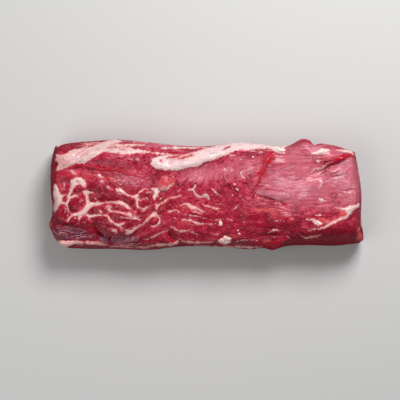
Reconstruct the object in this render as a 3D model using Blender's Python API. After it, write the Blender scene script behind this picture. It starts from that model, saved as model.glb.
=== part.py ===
"""A long, thick piece of raw beef, uncut, lying on its flat side.

The body is one closed skin. Its upper sheet is a grid over the plan outline,
lifted from the widest line of the sides to a crowned top. Its lower sheet rolls
in under the sides to a flat resting face. Lobes, seams, fat bands, flaps and
cuts are relief in the upper sheet.

Places on the piece are pairs in millimetres: how far along from the left cut
end, and how far in from the front long side. Heights are above the table.
"""
import math

import bmesh
import bpy
import numpy as np

MM = 0.001

# Driving sizes, in millimetres
CROWN_HEIGHT = 52.0
WAIST_HEIGHT = 17.0
WAIST_WAVE = 2.0
WAIST_TURNS = ((11, 4), (7, -3))
UNDERSIDE_INSET = 6.0
UNDERSIDE_FLAT_INSET = 13.0
MIDDLE_LENGTH = 309.9
MIDDLE_WIDTH = 101.6
LEFT_SLOPE = 5.0
RIGHT_SLOPE = 6.0
SLOPE_CRISPNESS = 4.0
SIDE_ROUNDNESS = 2.2
RELIEF_MARGIN = 5.0
FOOT_EASE_ACROSS = 3.0
FOOT_EASE_ALONG = 4.0
BULGE_REACH = 14.0
UNEVENNESS = 0.28

# Grid of the upper sheet: cells along and across, with finer cells at the edges
CELLS_ALONG = 90
CELLS_ACROSS = 34
EDGE_CELLS_ALONG = 6
EDGE_CELLS_ACROSS = 5
EDGE_BAND_ALONG = 0.035
EDGE_BAND_ACROSS = 0.11
EDGE_GROWTH = 1.5
UNDER_ROLL_STEPS = 3

# Plan outline: the four sides of the piece, each as points along its edge
BACK_EDGE = [(4, 104), (17, 107), (43, 109.5), (64, 111), (95, 108.5), (137, 104.6), (160, 104.6),
             (189, 108.2), (210, 106.4), (237, 104), (244, 107), (254, 112), (260, 110), (263.5, 106),
             (272, 107.2), (283, 105.5), (306.4, 98.4)]
FRONT_EDGE = [(8.5, 6.5), (15.5, 2.4), (30, 1), (63, 0.6), (99, -0.4), (130, 3), (176, 2.4), (202, 0.2),
              (214, 1.4), (223, -0.6), (233, 2.6), (256, 4.4), (287, 3.8), (311, 6.5)]
LEFT_END = [(8.5, 6.5), (3.8, 13), (1.2, 20), (-0.6, 25), (1, 32), (2.4, 44), (0.2, 60), (0.6, 76),
            (2.6, 99), (4, 104)]
RIGHT_END = [(311, 6.5), (314.6, 10.5), (313.6, 17), (312.3, 26), (312, 40), (312.3, 51), (311.4, 64),
             (309.6, 76), (308, 88), (306.4, 98.4)]

# How far in from each long side the top is rounded off, against the place along
BACK_ROLL = [(0, 18), (60, 22), (110, 21), (160, 15), (230, 12), (275, 14), (312, 14)]
FRONT_ROLL = [(0, 30), (40, 33), (85, 25), (130, 19), (200, 18), (250, 24), (290, 27), (312, 24)]

# Height of the top against the place along, before relief
CROWN_LINE = [(0, -3.5), (30, -0.5), (80, 1.5), (130, 0.0), (170, -2.0), (215, -1.5), (255, 0.5),
              (290, 0.0), (312, -2.5)]

# Rounded lobes: centre, half length, half width, turn in degrees, rise
LOBES = {
    "upper_left": ((18, 73), 15, 8, -8, 2.6),
    "round_lobe": ((28, 44.6), 9.5, 9, 0, 2.6),
    "under_arch": ((28, 63), 8, 5.5, 0, 1.6),
    "left_cell": ((15, 62), 6, 8, 0, 1.4),
    "lower_left": ((12, 34), 9, 9, 0, 3.0),
    "lower_left_mid": ((26, 29), 6.5, 5.5, 0, 1.8),
    "lower_left_end": ((37, 29), 7, 6.5, 0, 2.0),
    "smooth_lobe": ((56, 58), 19, 10, -20, 2.6),
    "above_eye": ((62, 43), 15, 4.5, 0, 1.2),
    "beside_eye": ((83, 51), 7.5, 7, 0, 1.6),
    "eye": ((70, 27), 29, 13, 2, 4.2),
    "loop_cell": ((104, 29), 7.5, 6.5, 0, 1.8),
    "mid_cell": ((97, 54), 7, 6.5, 0, 1.2),
    "back_muscle": ((76, 88), 30, 8.5, -2, 2.0),
    "middle_front": ((140, 30), 34, 14, 4, 1.4),
    "middle_back": ((170, 66), 42, 16, 8, 1.8),
    "silverskin_plate": ((256, 66), 46, 26, -3, 2.2),
    "right_back": ((276, 92), 26, 9, -6, 1.4),
    "front_right": ((282, 18), 34, 11, 6, 3.0),
    "front_middle": ((236, 32), 30, 8, 4, 1.4),
    "back_bulge": ((254, 105), 10, 7, 0, 2.5),
}

# Raised fat bands and folds: path, half width, rise
RIDGES = {
    "fat_fan": ([(6, 90), (23, 88), (37, 92), (54, 98), (75, 100), (100, 100), (128, 101)], 5.5, 1.8),
    "fan_fold": ([(8, 100), (16, 90), (10, 80)], 3.5, 1.6),
    "fat_band": ([(102, 86), (114, 82), (127, 83), (149, 89), (163, 95), (180, 100), (206, 102),
                  (230, 101)], 5.5, 2.4),
    "band_end": ([(224, 100), (234, 100)], 4.0, 1.2),
    "left_patch": ([(7, 64), (11, 55), (9, 42)], 4.0, 1.2),
    "fat_mass": ([(17, 30), (24, 35), (32, 38), (39, 43)], 4.0, 1.2),
    "right_patch": ([(259, 95), (270, 100), (278, 98)], 4.0, 1.8),
    "wet_flap": ([(286, 90), (296, 93), (302, 95)], 3.5, 1.8),
    "end_fold": ([(292, 87), (290, 79), (276, 75)], 3.5, 1.4),
    "front_seam_fat": ([(256, 20), (276, 24), (289, 31), (298, 41), (309, 46)], 4.0, 1.8),
    "red_flap": ([(110, 70), (119, 63), (125, 71)], 5.0, 2.2),
    "nugget": ([(170, 10), (178, 10)], 4.5, 2.4),
    "lifted_ridge": ([(50, 74), (63, 63), (75, 59)], 3.5, 1.4),
}

# Seams, cuts and pockets: path, half width, depth
CREASES = {
    "eye_edge": ([(48, 23), (53, 18), (60, 14.5), (70, 13.5), (78, 16), (88, 21), (96, 25)], 3.4, 6.0),
    "ribbon_seam": ([(24, 80), (52, 77), (77, 74), (96, 71)], 3.0, 1.8),
    "back_pocket": ([(56, 71), (64, 66), (73, 61)], 3.6, 3.4),
    "front_notch": ([(119, 18), (120, 14), (124, 11), (130, 9)], 3.0, 5.0),
    "cut": ([(205, 54), (219, 50), (236, 47)], 2.8, 3.6),
    "front_pocket": ([(207, 13), (214, 15.5), (225, 16.5), (234, 18)], 4.0, 5.0),
    "under_band_end": ([(210, 97), (222, 93), (234, 93)], 3.0, 2.6),
    "under_wet_flap": ([(283, 84), (276, 81), (266, 77), (259, 74)], 3.8, 3.4),
    "end_groove": ([(288, 59), (304, 60)], 2.4, 1.6),
    "plate_gash": ([(238, 68), (252, 71)], 2.4, 1.4),
    "left_web": ([(22, 62), (21, 52), (18, 45), (21, 37)], 2.6, 1.2),
    "arch_web": ([(39, 56), (38, 48), (43, 43), (56, 48), (72, 49), (81, 42)], 2.6, 1.3),
    "lower_web": ([(31, 27), (33, 33), (44, 33)], 2.6, 1.3),
    "below_lobes": ([(4, 24), (20, 21), (34, 20), (46, 20)], 4.0, 3.0),
    "behind_loop": ([(90, 32), (98, 38), (110, 33), (108, 24)], 2.4, 1.2),
}

# Edges where one layer lies over its neighbour: path, ramp width, drop to the
# right of the path, how far the upper layer's lift fades behind the edge
STEPS = {
    "torn_layer": ([(223, 97), (217, 88), (211, 78), (209, 68), (204, 58)], 2.0, 2.2, 24.0),
}

# The fat strip along the foot of the front side: path, half width, rise
FOOT_STRIP = ([(9, 6.5), (20, 7.5), (50, 6.5), (80, 3.5), (100, 4), (118, 7.5), (134, 9), (162, 7.5)],
              3.6, 3.4)
FOOT_GROOVE = ([(9, 12), (34, 13), (60, 11), (90, 9), (112, 13), (130, 14.5), (160, 13)], 3.4, 2.4)

# Bulges of the cut ends: place in from the front side, height, half size, rise
LEFT_BULGES = [(80, 32, 18, 2.2), (48, 30, 15, 1.8), (22, 24, 12, 2.0)]
RIGHT_BULGES = [(74, 32, 20, 1.6), (42, 28, 16, 1.2), (18, 24, 10, 1.8)]

# Long soft waves of the surface: wave length along, wave length across, phase
WAVES = [(71.0, 93.0, 0.4), (43.0, -64.0, 1.9), (29.0, 41.0, 3.1), (96.0, -31.0, 4.6)]

FLESH_COLOUR = (0.38, 0.035, 0.055, 1.0)
FLESH_ROUGHNESS = 0.36


def clear_scene():
    """Remove whatever the file opened with."""
    for item in list(bpy.data.objects):
        bpy.data.objects.remove(item, do_unlink=True)


def read_line(points, at):
    """Smooth value at a place along, from (place, value) points."""
    places = np.array([p[0] for p in points], float)
    values = np.array([p[1] for p in points], float)
    slopes = np.gradient(values, places)
    at = np.clip(at, places[0], places[-1])
    left = np.clip(np.searchsorted(places, at) - 1, 0, len(places) - 2)
    span = places[left + 1] - places[left]
    t = (at - places[left]) / span
    start = (2 * t**3 - 3 * t**2 + 1) * values[left] + (t**3 - 2 * t**2 + t) * span * slopes[left]
    end = (3 * t**2 - 2 * t**3) * values[left + 1] + (t**3 - t**2) * span * slopes[left + 1]
    return start + end


def edge_curve(points, share):
    """Point at a share of the way along an edge, as a smooth curve."""
    points = np.array(points, float)
    steps = np.hypot(*np.diff(points, axis=0).T)
    way = np.concatenate(([0.0], np.cumsum(steps)))
    way /= way[-1]
    along = read_line(list(zip(way, points[:, 0])), share)
    inward = read_line(list(zip(way, points[:, 1])), share)
    return np.stack((along, inward), axis=-1)


def plan_place(s, t):
    """Place on the plan for shares s along and t across, between the four edges."""
    s = np.asarray(s, float)[..., None]
    t = np.asarray(t, float)[..., None]
    front = edge_curve(FRONT_EDGE, s[..., 0])
    back = edge_curve(BACK_EDGE, s[..., 0])
    left = edge_curve(LEFT_END, t[..., 0])
    right = edge_curve(RIGHT_END, t[..., 0])
    corner = [np.array(p, float) for p in (FRONT_EDGE[0], FRONT_EDGE[-1], BACK_EDGE[0], BACK_EDGE[-1])]
    long_sides = (1 - t) * front + t * back
    ends = (1 - s) * left + s * right
    flat = ((1 - s) * (1 - t) * corner[0] + s * (1 - t) * corner[1]
            + (1 - s) * t * corner[2] + s * t * corner[3])
    return long_sides + ends - flat


def shares(cells, edge_cells, band):
    """Shares from 0 to 1 with finer steps in a band at both ends."""
    edge = band * (np.arange(edge_cells) / edge_cells) ** EDGE_GROWTH
    middle = np.linspace(band, 1 - band, cells - 2 * edge_cells + 1)
    return np.concatenate((edge, middle, (1 - edge)[::-1]))


def path_distance(points, along, inward):
    """Distance to a path, and on which side of it a place lies (right is 1)."""
    nearest = np.full(along.shape, np.inf)
    side = np.ones(along.shape)
    for (ax, ay), (bx, by) in zip(points[:-1], points[1:]):
        dx, dy = bx - ax, by - ay
        t = np.clip(((along - ax) * dx + (inward - ay) * dy) / (dx * dx + dy * dy), 0, 1)
        gap = np.hypot(along - ax - t * dx, inward - ay - t * dy)
        turn = np.where(dx * (inward - ay) - dy * (along - ax) < 0, 1.0, -1.0)
        side = np.where(gap < nearest, turn, side)
        nearest = np.minimum(nearest, gap)
    return nearest, side


def bell(distance, half_width):
    """Smooth bump of height 1 that fades out over about two half widths."""
    return np.exp(-(distance / half_width) ** 2)


def soft_step(value):
    """Smooth rise from 0 to 1 as the value goes from 0 to 1."""
    value = np.clip(value, 0, 1)
    return value * value * (3 - 2 * value)


def lobe_rise(along, inward):
    """Height of the rounded lobes."""
    rise = np.zeros(along.shape)
    for (cx, cy), half_long, half_wide, turn, height in LOBES.values():
        angle = math.radians(turn)
        u = ((along - cx) * math.cos(angle) + (inward - cy) * math.sin(angle)) / half_long
        v = ((inward - cy) * math.cos(angle) - (along - cx) * math.sin(angle)) / half_wide
        rise += height * np.clip(1 - u * u - v * v, 0, 1) ** 1.5
    return rise


def relief(along, inward):
    """Height of everything that stands on or cuts into the upper sheet."""
    height = lobe_rise(along, inward)
    for points, half_width, rise in RIDGES.values():
        height += rise * bell(path_distance(points, along, inward)[0], half_width)
    for points, half_width, depth in CREASES.values():
        height -= depth * bell(path_distance(points, along, inward)[0], half_width)
    for points, ramp, drop, fade in STEPS.values():
        gap, side = path_distance(points, along, inward)
        edge = soft_step(0.5 - side * gap / (2 * ramp))
        height += drop * edge * bell(np.where(side < 0, gap, 0.0), fade)
    for wave_along, wave_across, phase in WAVES:
        turn = 2 * math.pi * (along / wave_along + inward / wave_across)
        height += UNEVENNESS * np.sin(turn + phase)
    return height


def waist_height(s, t):
    """Height of the widest line round the sides."""
    (sine_s, sine_t), (cosine_s, cosine_t) = WAIST_TURNS
    wave = np.sin(sine_s * s + sine_t * t) * np.cos(cosine_s * s + cosine_t * t)
    return WAIST_HEIGHT + WAIST_WAVE * wave


def side_roll(distance, roll):
    """Share of the full height at a distance in from a long side."""
    inside = 1 - np.clip(distance / roll, 0, 1)
    return (1 - inside**SIDE_ROUNDNESS) ** (1 / SIDE_ROUNDNESS)


def end_slope(distance, slope):
    """Share of the full height at a distance in from a cut end."""
    t = distance / slope
    return t / (1 + t**SLOPE_CRISPNESS) ** (1 / SLOPE_CRISPNESS)


def end_bulge(bulges, inward, height):
    """How far a cut end stands out at a place on its face."""
    out = np.zeros(inward.shape)
    for centre, level, half_size, rise in bulges:
        out += rise * bell(np.hypot(inward - centre, height - level), half_size)
    return out


def upper_point(s, t):
    """Points of the upper sheet: along, inward and height."""
    place = plan_place(s, t)
    along, inward = place[..., 0], place[..., 1]
    front_gap = inward - plan_place(s, np.zeros_like(t))[..., 1]
    back_gap = plan_place(s, np.ones_like(t))[..., 1] - inward
    left_gap = along - plan_place(np.zeros_like(s), t)[..., 0]
    right_gap = plan_place(np.ones_like(s), t)[..., 0] - along
    sides = side_roll(front_gap, read_line(FRONT_ROLL, along))
    sides = sides * side_roll(back_gap, read_line(BACK_ROLL, along))
    ends = end_slope(left_gap, LEFT_SLOPE) * end_slope(right_gap, RIGHT_SLOPE)
    rim = np.minimum(np.minimum(front_gap, back_gap), np.minimum(left_gap, right_gap))
    top = CROWN_HEIGHT + read_line(CROWN_LINE, along)
    top = top + relief(along, inward) * soft_step(rim / RELIEF_MARGIN)
    waist = waist_height(s, t)
    height = waist + (top - waist) * sides * ends
    strip, groove = FOOT_STRIP, FOOT_GROOVE
    foot = strip[2] * bell(path_distance(strip[0], along, inward)[0], strip[1])
    foot -= groove[2] * bell(path_distance(groove[0], along, inward)[0], groove[1])
    height = height + foot * soft_step(front_gap / FOOT_EASE_ACROSS) * soft_step(left_gap / FOOT_EASE_ALONG)
    along = along - end_bulge(LEFT_BULGES, inward, height) * (1 - soft_step(left_gap / BULGE_REACH))
    along = along + end_bulge(RIGHT_BULGES, inward, height) * (1 - soft_step(right_gap / BULGE_REACH))
    return np.stack((along, inward, height), axis=-1)


def shrunk(s, t, inset):
    """Shares moved in from the outline by an inset in millimetres."""
    return (0.5 + (s - 0.5) * (1 - 2 * inset / MIDDLE_LENGTH),
            0.5 + (t - 0.5) * (1 - 2 * inset / MIDDLE_WIDTH))


def outline_order(columns, rows):
    """Grid indices once round the rim of a grid, anticlockwise from the front left."""
    front = [(i, 0) for i in range(columns)]
    right = [(columns, j) for j in range(rows)]
    back = [(columns - i, rows) for i in range(columns)]
    left = [(0, rows - j) for j in range(rows)]
    return front + right + back + left


def add_grid(mesh, points):
    """Vertices of a grid of points."""
    return [[mesh.verts.new(point) for point in row] for row in points]


def fill_grid(mesh, grid, face_up):
    """Triangles between the vertices of a grid, split along the shorter diagonal."""
    for i in range(len(grid) - 1):
        for j in range(len(grid[0]) - 1):
            a, b, c, d = grid[i][j], grid[i + 1][j], grid[i + 1][j + 1], grid[i][j + 1]
            if (a.co - c.co).length <= (b.co - d.co).length:
                pair = [(a, b, c), (a, c, d)]
            else:
                pair = [(a, b, d), (b, c, d)]
            for triangle in pair:
                mesh.faces.new(triangle if face_up else triangle[::-1])


def fill_band(mesh, outer, inner):
    """Triangles between two rings of equal count, facing out and down."""
    count = len(outer)
    for k in range(count):
        n = (k + 1) % count
        mesh.faces.new((outer[k], inner[k], inner[n]))
        mesh.faces.new((outer[k], inner[n], outer[n]))


def fill_halving_band(mesh, fine, coarse):
    """Triangles from a ring to a ring with half as many vertices."""
    count = len(coarse)
    for k in range(count):
        n = (k + 1) % count
        first, middle, last = fine[2 * k], fine[2 * k + 1], fine[(2 * k + 2) % len(fine)]
        mesh.faces.new((first, coarse[k], middle))
        mesh.faces.new((middle, coarse[k], coarse[n]))
        mesh.faces.new((middle, coarse[n], last))


def flesh_material():
    """Wet raw meat."""
    material = bpy.data.materials.new("raw_beef")
    material.use_nodes = True
    shader = material.node_tree.nodes["Principled BSDF"]
    shader.inputs["Base Color"].default_value = FLESH_COLOUR
    shader.inputs["Roughness"].default_value = FLESH_ROUGHNESS
    shader.inputs["Metallic"].default_value = 0.0
    return material


def beef_mesh():
    """The whole piece as one closed mesh, in metres, standing on its flat face."""
    along_shares = shares(CELLS_ALONG, EDGE_CELLS_ALONG, EDGE_BAND_ALONG)
    across_shares = shares(CELLS_ACROSS, EDGE_CELLS_ACROSS, EDGE_BAND_ACROSS)
    s, t = np.meshgrid(along_shares, across_shares, indexing="ij")
    upper = upper_point(s, t)
    coarse_s, coarse_t = s[::2, ::2], t[::2, ::2]
    flat_place = plan_place(*shrunk(coarse_s, coarse_t, UNDERSIDE_FLAT_INSET))

    low = upper.reshape(-1, 3).min(axis=0)
    high = upper.reshape(-1, 3).max(axis=0)
    centre = (low + high) / 2

    def placed(along, inward, height):
        return ((along - centre[0]) * MM, (inward - centre[1]) * MM, height * MM)

    mesh = bmesh.new()
    top = add_grid(mesh, [[placed(*point) for point in row] for row in upper])
    fill_grid(mesh, top, face_up=True)

    rim = outline_order(CELLS_ALONG, CELLS_ACROSS)
    ring = [top[i][j] for i, j in rim]
    rim_s = np.array([along_shares[i] for i, j in rim])
    rim_t = np.array([across_shares[j] for i, j in rim])
    rim_point = np.array([upper[i, j] for i, j in rim])
    for step in range(1, UNDER_ROLL_STEPS + 1):
        turn = step * math.pi / (2 * UNDER_ROLL_STEPS)
        share = 1 - math.cos(turn)
        place = plan_place(*shrunk(rim_s, rim_t, UNDERSIDE_INSET))
        along = rim_point[:, 0] + share * (place[:, 0] - rim_point[:, 0])
        inward = rim_point[:, 1] + share * (place[:, 1] - rim_point[:, 1])
        height = rim_point[:, 2] * (1 - math.sin(turn)) if step < UNDER_ROLL_STEPS else 0 * along
        lower = [mesh.verts.new(placed(*point)) for point in zip(along, inward, height)]
        fill_band(mesh, ring, lower)
        ring = lower

    flat = add_grid(mesh, [[placed(*point, 0.0) for point in row] for row in flat_place])
    coarse_rim = outline_order(CELLS_ALONG // 2, CELLS_ACROSS // 2)
    fill_halving_band(mesh, ring, [flat[i][j] for i, j in coarse_rim])
    fill_grid(mesh, flat, face_up=False)

    data = bpy.data.meshes.new("beef")
    mesh.to_mesh(data)
    mesh.free()
    data.shade_smooth()
    return data


def make_beef():
    """The piece as one object."""
    beef = bpy.data.objects.new("beef", beef_mesh())
    beef.data.materials.append(flesh_material())
    bpy.context.scene.collection.objects.link(beef)
    return beef


clear_scene()
make_beef()
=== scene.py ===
# %% [markdown]
# A long thick piece of raw beef, seen from straight above.
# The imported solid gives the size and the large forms. This lesson lays a fine
# skin over it, maps muscle, fat and silverskin onto the skin as attributes, and
# adds the raised fat, torn flaps and fibres as pieces of their own.

# %% Load the frame
import math

import bmesh
import bpy
import numpy as np
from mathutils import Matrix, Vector
from mathutils.bvhtree import BVHTree


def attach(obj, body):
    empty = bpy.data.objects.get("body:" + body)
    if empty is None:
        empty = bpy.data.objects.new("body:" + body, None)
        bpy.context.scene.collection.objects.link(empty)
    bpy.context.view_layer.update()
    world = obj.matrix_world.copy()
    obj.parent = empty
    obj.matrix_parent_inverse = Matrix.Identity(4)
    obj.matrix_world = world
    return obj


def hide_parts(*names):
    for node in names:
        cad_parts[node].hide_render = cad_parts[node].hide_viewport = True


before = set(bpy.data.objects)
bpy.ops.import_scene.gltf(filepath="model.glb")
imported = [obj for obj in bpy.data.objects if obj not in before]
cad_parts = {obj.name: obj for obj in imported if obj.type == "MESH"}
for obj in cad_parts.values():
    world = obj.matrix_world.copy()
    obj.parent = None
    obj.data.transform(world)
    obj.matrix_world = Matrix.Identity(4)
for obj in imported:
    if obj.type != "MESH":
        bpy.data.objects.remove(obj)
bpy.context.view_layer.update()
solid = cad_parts["beef"]
MM = 0.001
PLAN_CENTRE = (156.6, 55.7)


# %% [markdown]
# Places on the meat are pairs in millimetres: how far along from the left cut
# end, and how far in from the front long side. They are the pairs a butcher
# would measure with a rule laid along the two edges, and the solid uses them
# too. The outline and the rounding of the sides are the solid's own.

# %% The outline and the rounding of the sides
BACK_EDGE = [(4, 104), (17, 107), (43, 109.5), (64, 111), (95, 108.5), (137, 104.6), (160, 104.6),
             (189, 108.2), (210, 106.4), (237, 104), (244, 107), (254, 112), (260, 110), (263.5, 106),
             (272, 107.2), (283, 105.5), (306.4, 98.4)]
FRONT_EDGE = [(8.5, 6.5), (15.5, 2.4), (30, 1), (63, 0.6), (99, -0.4), (130, 3), (176, 2.4), (202, 0.2),
              (214, 1.4), (223, -0.6), (233, 2.6), (256, 4.4), (287, 3.8), (311, 6.5)]
LEFT_END = [(8.5, 6.5), (3.8, 13), (1.2, 20), (-0.6, 25), (1, 32), (2.4, 44), (0.2, 60), (0.6, 76),
            (2.6, 99), (4, 104)]
RIGHT_END = [(311, 6.5), (314.6, 10.5), (313.6, 17), (312.3, 26), (312, 40), (312.3, 51), (311.4, 64),
             (309.6, 76), (308, 88), (306.4, 98.4)]
BACK_ROLL = [(0, 18), (60, 22), (110, 21), (160, 15), (230, 12), (275, 14), (312, 14)]
FRONT_ROLL = [(0, 30), (40, 33), (85, 25), (130, 19), (200, 18), (250, 24), (290, 27), (312, 24)]
CROWN_LINE = [(0, -3.5), (30, -0.5), (80, 1.5), (130, 0.0), (170, -2.0), (215, -1.5), (255, 0.5),
              (290, 0.0), (312, -2.5)]
CROWN_HEIGHT = 52.0
WAIST_HEIGHT = 17.0
WAIST_WAVE = 2.0
LEFT_SLOPE, RIGHT_SLOPE, SLOPE_CRISPNESS = 5.0, 6.0, 4.0
SIDE_ROUNDNESS = 2.2
LEFT_BULGES = [(80, 32, 18, 2.2), (48, 30, 15, 1.8), (22, 24, 12, 2.0)]
RIGHT_BULGES = [(74, 32, 20, 1.6), (42, 28, 16, 1.2), (18, 24, 10, 1.8)]


def read_line(points, at):
    """Smooth value at a place along, from (place, value) points."""
    places = np.array([p[0] for p in points], float)
    values = np.array([p[1] for p in points], float)
    slopes = np.gradient(values, places)
    at = np.clip(at, places[0], places[-1])
    left = np.clip(np.searchsorted(places, at) - 1, 0, len(places) - 2)
    span = places[left + 1] - places[left]
    t = (at - places[left]) / span
    start = (2 * t**3 - 3 * t**2 + 1) * values[left] + (t**3 - 2 * t**2 + t) * span * slopes[left]
    end = (3 * t**2 - 2 * t**3) * values[left + 1] + (t**3 - t**2) * span * slopes[left + 1]
    return start + end


def edge_curve(points, share):
    """Point at a share of the way along an edge."""
    points = np.array(points, float)
    way = np.concatenate(([0.0], np.cumsum(np.hypot(*np.diff(points, axis=0).T))))
    way /= way[-1]
    return np.stack([read_line(list(zip(way, points[:, k])), share) for k in (0, 1)], axis=-1)


def plan_place(s, t):
    """Place on the plan for shares s along and t across, between the four edges."""
    front, back = edge_curve(FRONT_EDGE, s), edge_curve(BACK_EDGE, s)
    left, right = edge_curve(LEFT_END, t), edge_curve(RIGHT_END, t)
    s, t = s[..., None], t[..., None]
    corner = [np.array(p, float) for p in (FRONT_EDGE[0], FRONT_EDGE[-1], BACK_EDGE[0], BACK_EDGE[-1])]
    flat = ((1 - s) * (1 - t) * corner[0] + s * (1 - t) * corner[1]
            + (1 - s) * t * corner[2] + s * t * corner[3])
    return (1 - t) * front + t * back + (1 - s) * left + s * right - flat


print("outline:", sum(len(edge) for edge in (FRONT_EDGE, BACK_EDGE, LEFT_END, RIGHT_END)), "points")


# %% [markdown]
# Small tools come next: a bump, a soft step, and a random field. The random
# field is noise on a lattice of hashed gradients. A formula stands in for a
# texture image, so the same meat grows each time the lesson runs.

# %% Soft shapes and a repeatable random field
def bell(distance, half_width):
    """Bump of height 1 that fades out over about two half widths."""
    return np.exp(-(distance / half_width) ** 2)


def soft_step(value):
    """Smooth rise from 0 to 1 as the value goes from 0 to 1."""
    value = np.clip(value, 0, 1)
    return value * value * (3 - 2 * value)


def lattice_gradient(ix, iy, seed):
    """Repeatable pseudo-random angle for a lattice point."""
    mixed = (ix * 374761393 + iy * 668265263 + seed * 974634777) & 0x7FFFFFFF
    mixed = ((mixed ^ (mixed >> 13)) * 1274126177) & 0x7FFFFFFF
    return (mixed ^ (mixed >> 16)) / 0x7FFFFFFF * 2 * math.pi


def noise(x, y, seed):
    """Smooth random field of about -1 to 1 with features one unit across."""
    ix, iy = np.floor(x).astype(np.int64), np.floor(y).astype(np.int64)
    fx, fy = x - ix, y - iy
    u, v = soft_step(fx), soft_step(fy)
    corner = []
    for dx, dy in ((0, 0), (1, 0), (0, 1), (1, 1)):
        angle = lattice_gradient(ix + dx, iy + dy, seed)
        corner.append(np.cos(angle) * (fx - dx) + np.sin(angle) * (fy - dy))
    low = corner[0] + u * (corner[1] - corner[0])
    high = corner[2] + u * (corner[3] - corner[2])
    return 1.5 * (low + v * (high - low))


print("noise at one place:", round(float(noise(np.array([0.3]), np.array([0.6]), 1)[0]), 3))


# %% [markdown]
# The skin is a grid laid over the plan. Its rows crowd together at the sides
# and ends, where the meat turns down, so that the walls have enough points. A
# remesh would also give an even skin, but a grid keeps rows and columns, which
# makes smoothing and mapping plain array work.

# %% Shares for an even grid
TOP_STEP = 0.80
WALL_STEPS_ACROSS = 26
WALL_STEPS_ALONG = 22
FRONT_WALL, BACK_WALL, END_WALL = 24.0, 16.0, 7.0
LENGTH, WIDTH = 312.0, 105.0


def across_shares():
    """Shares across: quarter turns down both sides, even steps over the top."""
    turn = np.linspace(0, math.pi / 2, WALL_STEPS_ACROSS + 1)
    front = FRONT_WALL * (1 - np.cos(turn))
    back = WIDTH - BACK_WALL * (1 - np.cos(turn[::-1]))
    count = round((back[0] - front[-1]) / TOP_STEP)
    return np.concatenate((front[:-1], np.linspace(front[-1], back[0], count + 1), back[1:])) / WIDTH


def along_shares():
    """Shares along: crowded columns down both ends, even steps between."""
    end = END_WALL * np.linspace(0, 1, WALL_STEPS_ALONG + 1) ** 1.25
    count = round((LENGTH - 2 * END_WALL) / TOP_STEP)
    middle = np.linspace(END_WALL, LENGTH - END_WALL, count + 1)
    return np.concatenate((end[:-1], middle, (LENGTH - end[:-1])[::-1])) / LENGTH


S, T = np.meshgrid(along_shares(), across_shares(), indexing="ij")
print("grid", S.shape, "about", 2 * S.size, "triangles")


# %% [markdown]
# The bare form comes first: the outline lifted to a crowned top, round at the
# sides and sloping at the cut ends. Then each point is moved along its own
# normal until it meets the solid, so every lobe, seam and flap of the solid
# comes through. A few rounds of smoothing take the solid's facets away.

# %% Drape the grid over the solid
def end_bulge(bulges, inward, height):
    """How far a cut end stands out at a place on its face."""
    return sum(rise * bell(np.hypot(inward - centre, height - level), half_size)
               for centre, level, half_size, rise in bulges)


def bare_form():
    """Points of the skin without relief, in millimetres on the plan, and the gaps to the edges."""
    place = plan_place(S, T)
    along, inward = place[..., 0], place[..., 1]
    gaps = {
        "front": inward - plan_place(S, 0 * T)[..., 1],
        "back": plan_place(S, 0 * T + 1)[..., 1] - inward,
        "left": along - plan_place(0 * S, T)[..., 0],
        "right": plan_place(0 * S + 1, T)[..., 0] - along,
    }
    share = np.ones(S.shape)
    for side, roll in (("front", FRONT_ROLL), ("back", BACK_ROLL)):
        inside = 1 - np.clip(gaps[side] / read_line(roll, along), 0, 1)
        share = share * (1 - inside**SIDE_ROUNDNESS) ** (1 / SIDE_ROUNDNESS)
    for side, slope in (("left", LEFT_SLOPE), ("right", RIGHT_SLOPE)):
        t = np.clip(gaps[side], 0, None) / slope
        share = share * t / (1 + t**SLOPE_CRISPNESS) ** (1 / SLOPE_CRISPNESS)
    waist = WAIST_HEIGHT + WAIST_WAVE * np.sin(11 * S + 4 * T) * np.cos(7 * S - 3 * T)
    height = waist + (CROWN_HEIGHT + read_line(CROWN_LINE, along) - waist) * share
    shift = (-end_bulge(LEFT_BULGES, inward, height) * (1 - soft_step(gaps["left"] / 14.0))
             + end_bulge(RIGHT_BULGES, inward, height) * (1 - soft_step(gaps["right"] / 14.0)))
    return np.stack((along + shift, inward, height), axis=-1), gaps


def grid_normals(points):
    """Unit normals of a grid of points."""
    normal = np.cross(np.gradient(points, axis=0), np.gradient(points, axis=1))
    return normal / np.maximum(np.linalg.norm(normal, axis=-1, keepdims=True), 1e-9)


def smooth(field, rounds):
    """Averages each value with its neighbours along and across."""
    for _ in range(rounds):
        padded = np.pad(field, 1, mode="edge")
        field = (padded[:-2, 1:-1] + 2 * padded[1:-1, 1:-1] + padded[2:, 1:-1]) / 4
        padded = np.pad(field, 1, mode="edge")
        field = (padded[1:-1, :-2] + 2 * padded[1:-1, 1:-1] + padded[1:-1, 2:]) / 4
    return field


def to_frame(points):
    """Plan millimetres to metres in the frame."""
    return (points - np.array([PLAN_CENTRE[0], PLAN_CENTRE[1], 0.0])) * MM


def solid_tree(node):
    """A search tree of a merged copy of a node's mesh."""
    copy = bmesh.new()
    copy.from_mesh(node.data)
    bmesh.ops.remove_doubles(copy, verts=copy.verts, dist=0.00002)
    tree = BVHTree.FromBMesh(copy)
    copy.free()
    return tree


REACH = 8.0


def drape(points, normals, tree):
    """Distance from each point along its normal to the solid, in millimetres."""
    start = to_frame(points + REACH * normals).reshape(-1, 3)
    flat_normals = normals.reshape(-1, 3)
    gap = np.zeros(len(start))
    for k, (origin, normal) in enumerate(zip(start, flat_normals)):
        hit = tree.ray_cast(Vector(origin), Vector(-normal), 2 * REACH * MM)
        gap[k] = REACH - hit[3] / MM if hit[0] else np.nan
    gap = gap.reshape(points.shape[:2])
    print("rays that missed the solid:", int(np.isnan(gap).sum()))
    return np.nan_to_num(gap)


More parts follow.
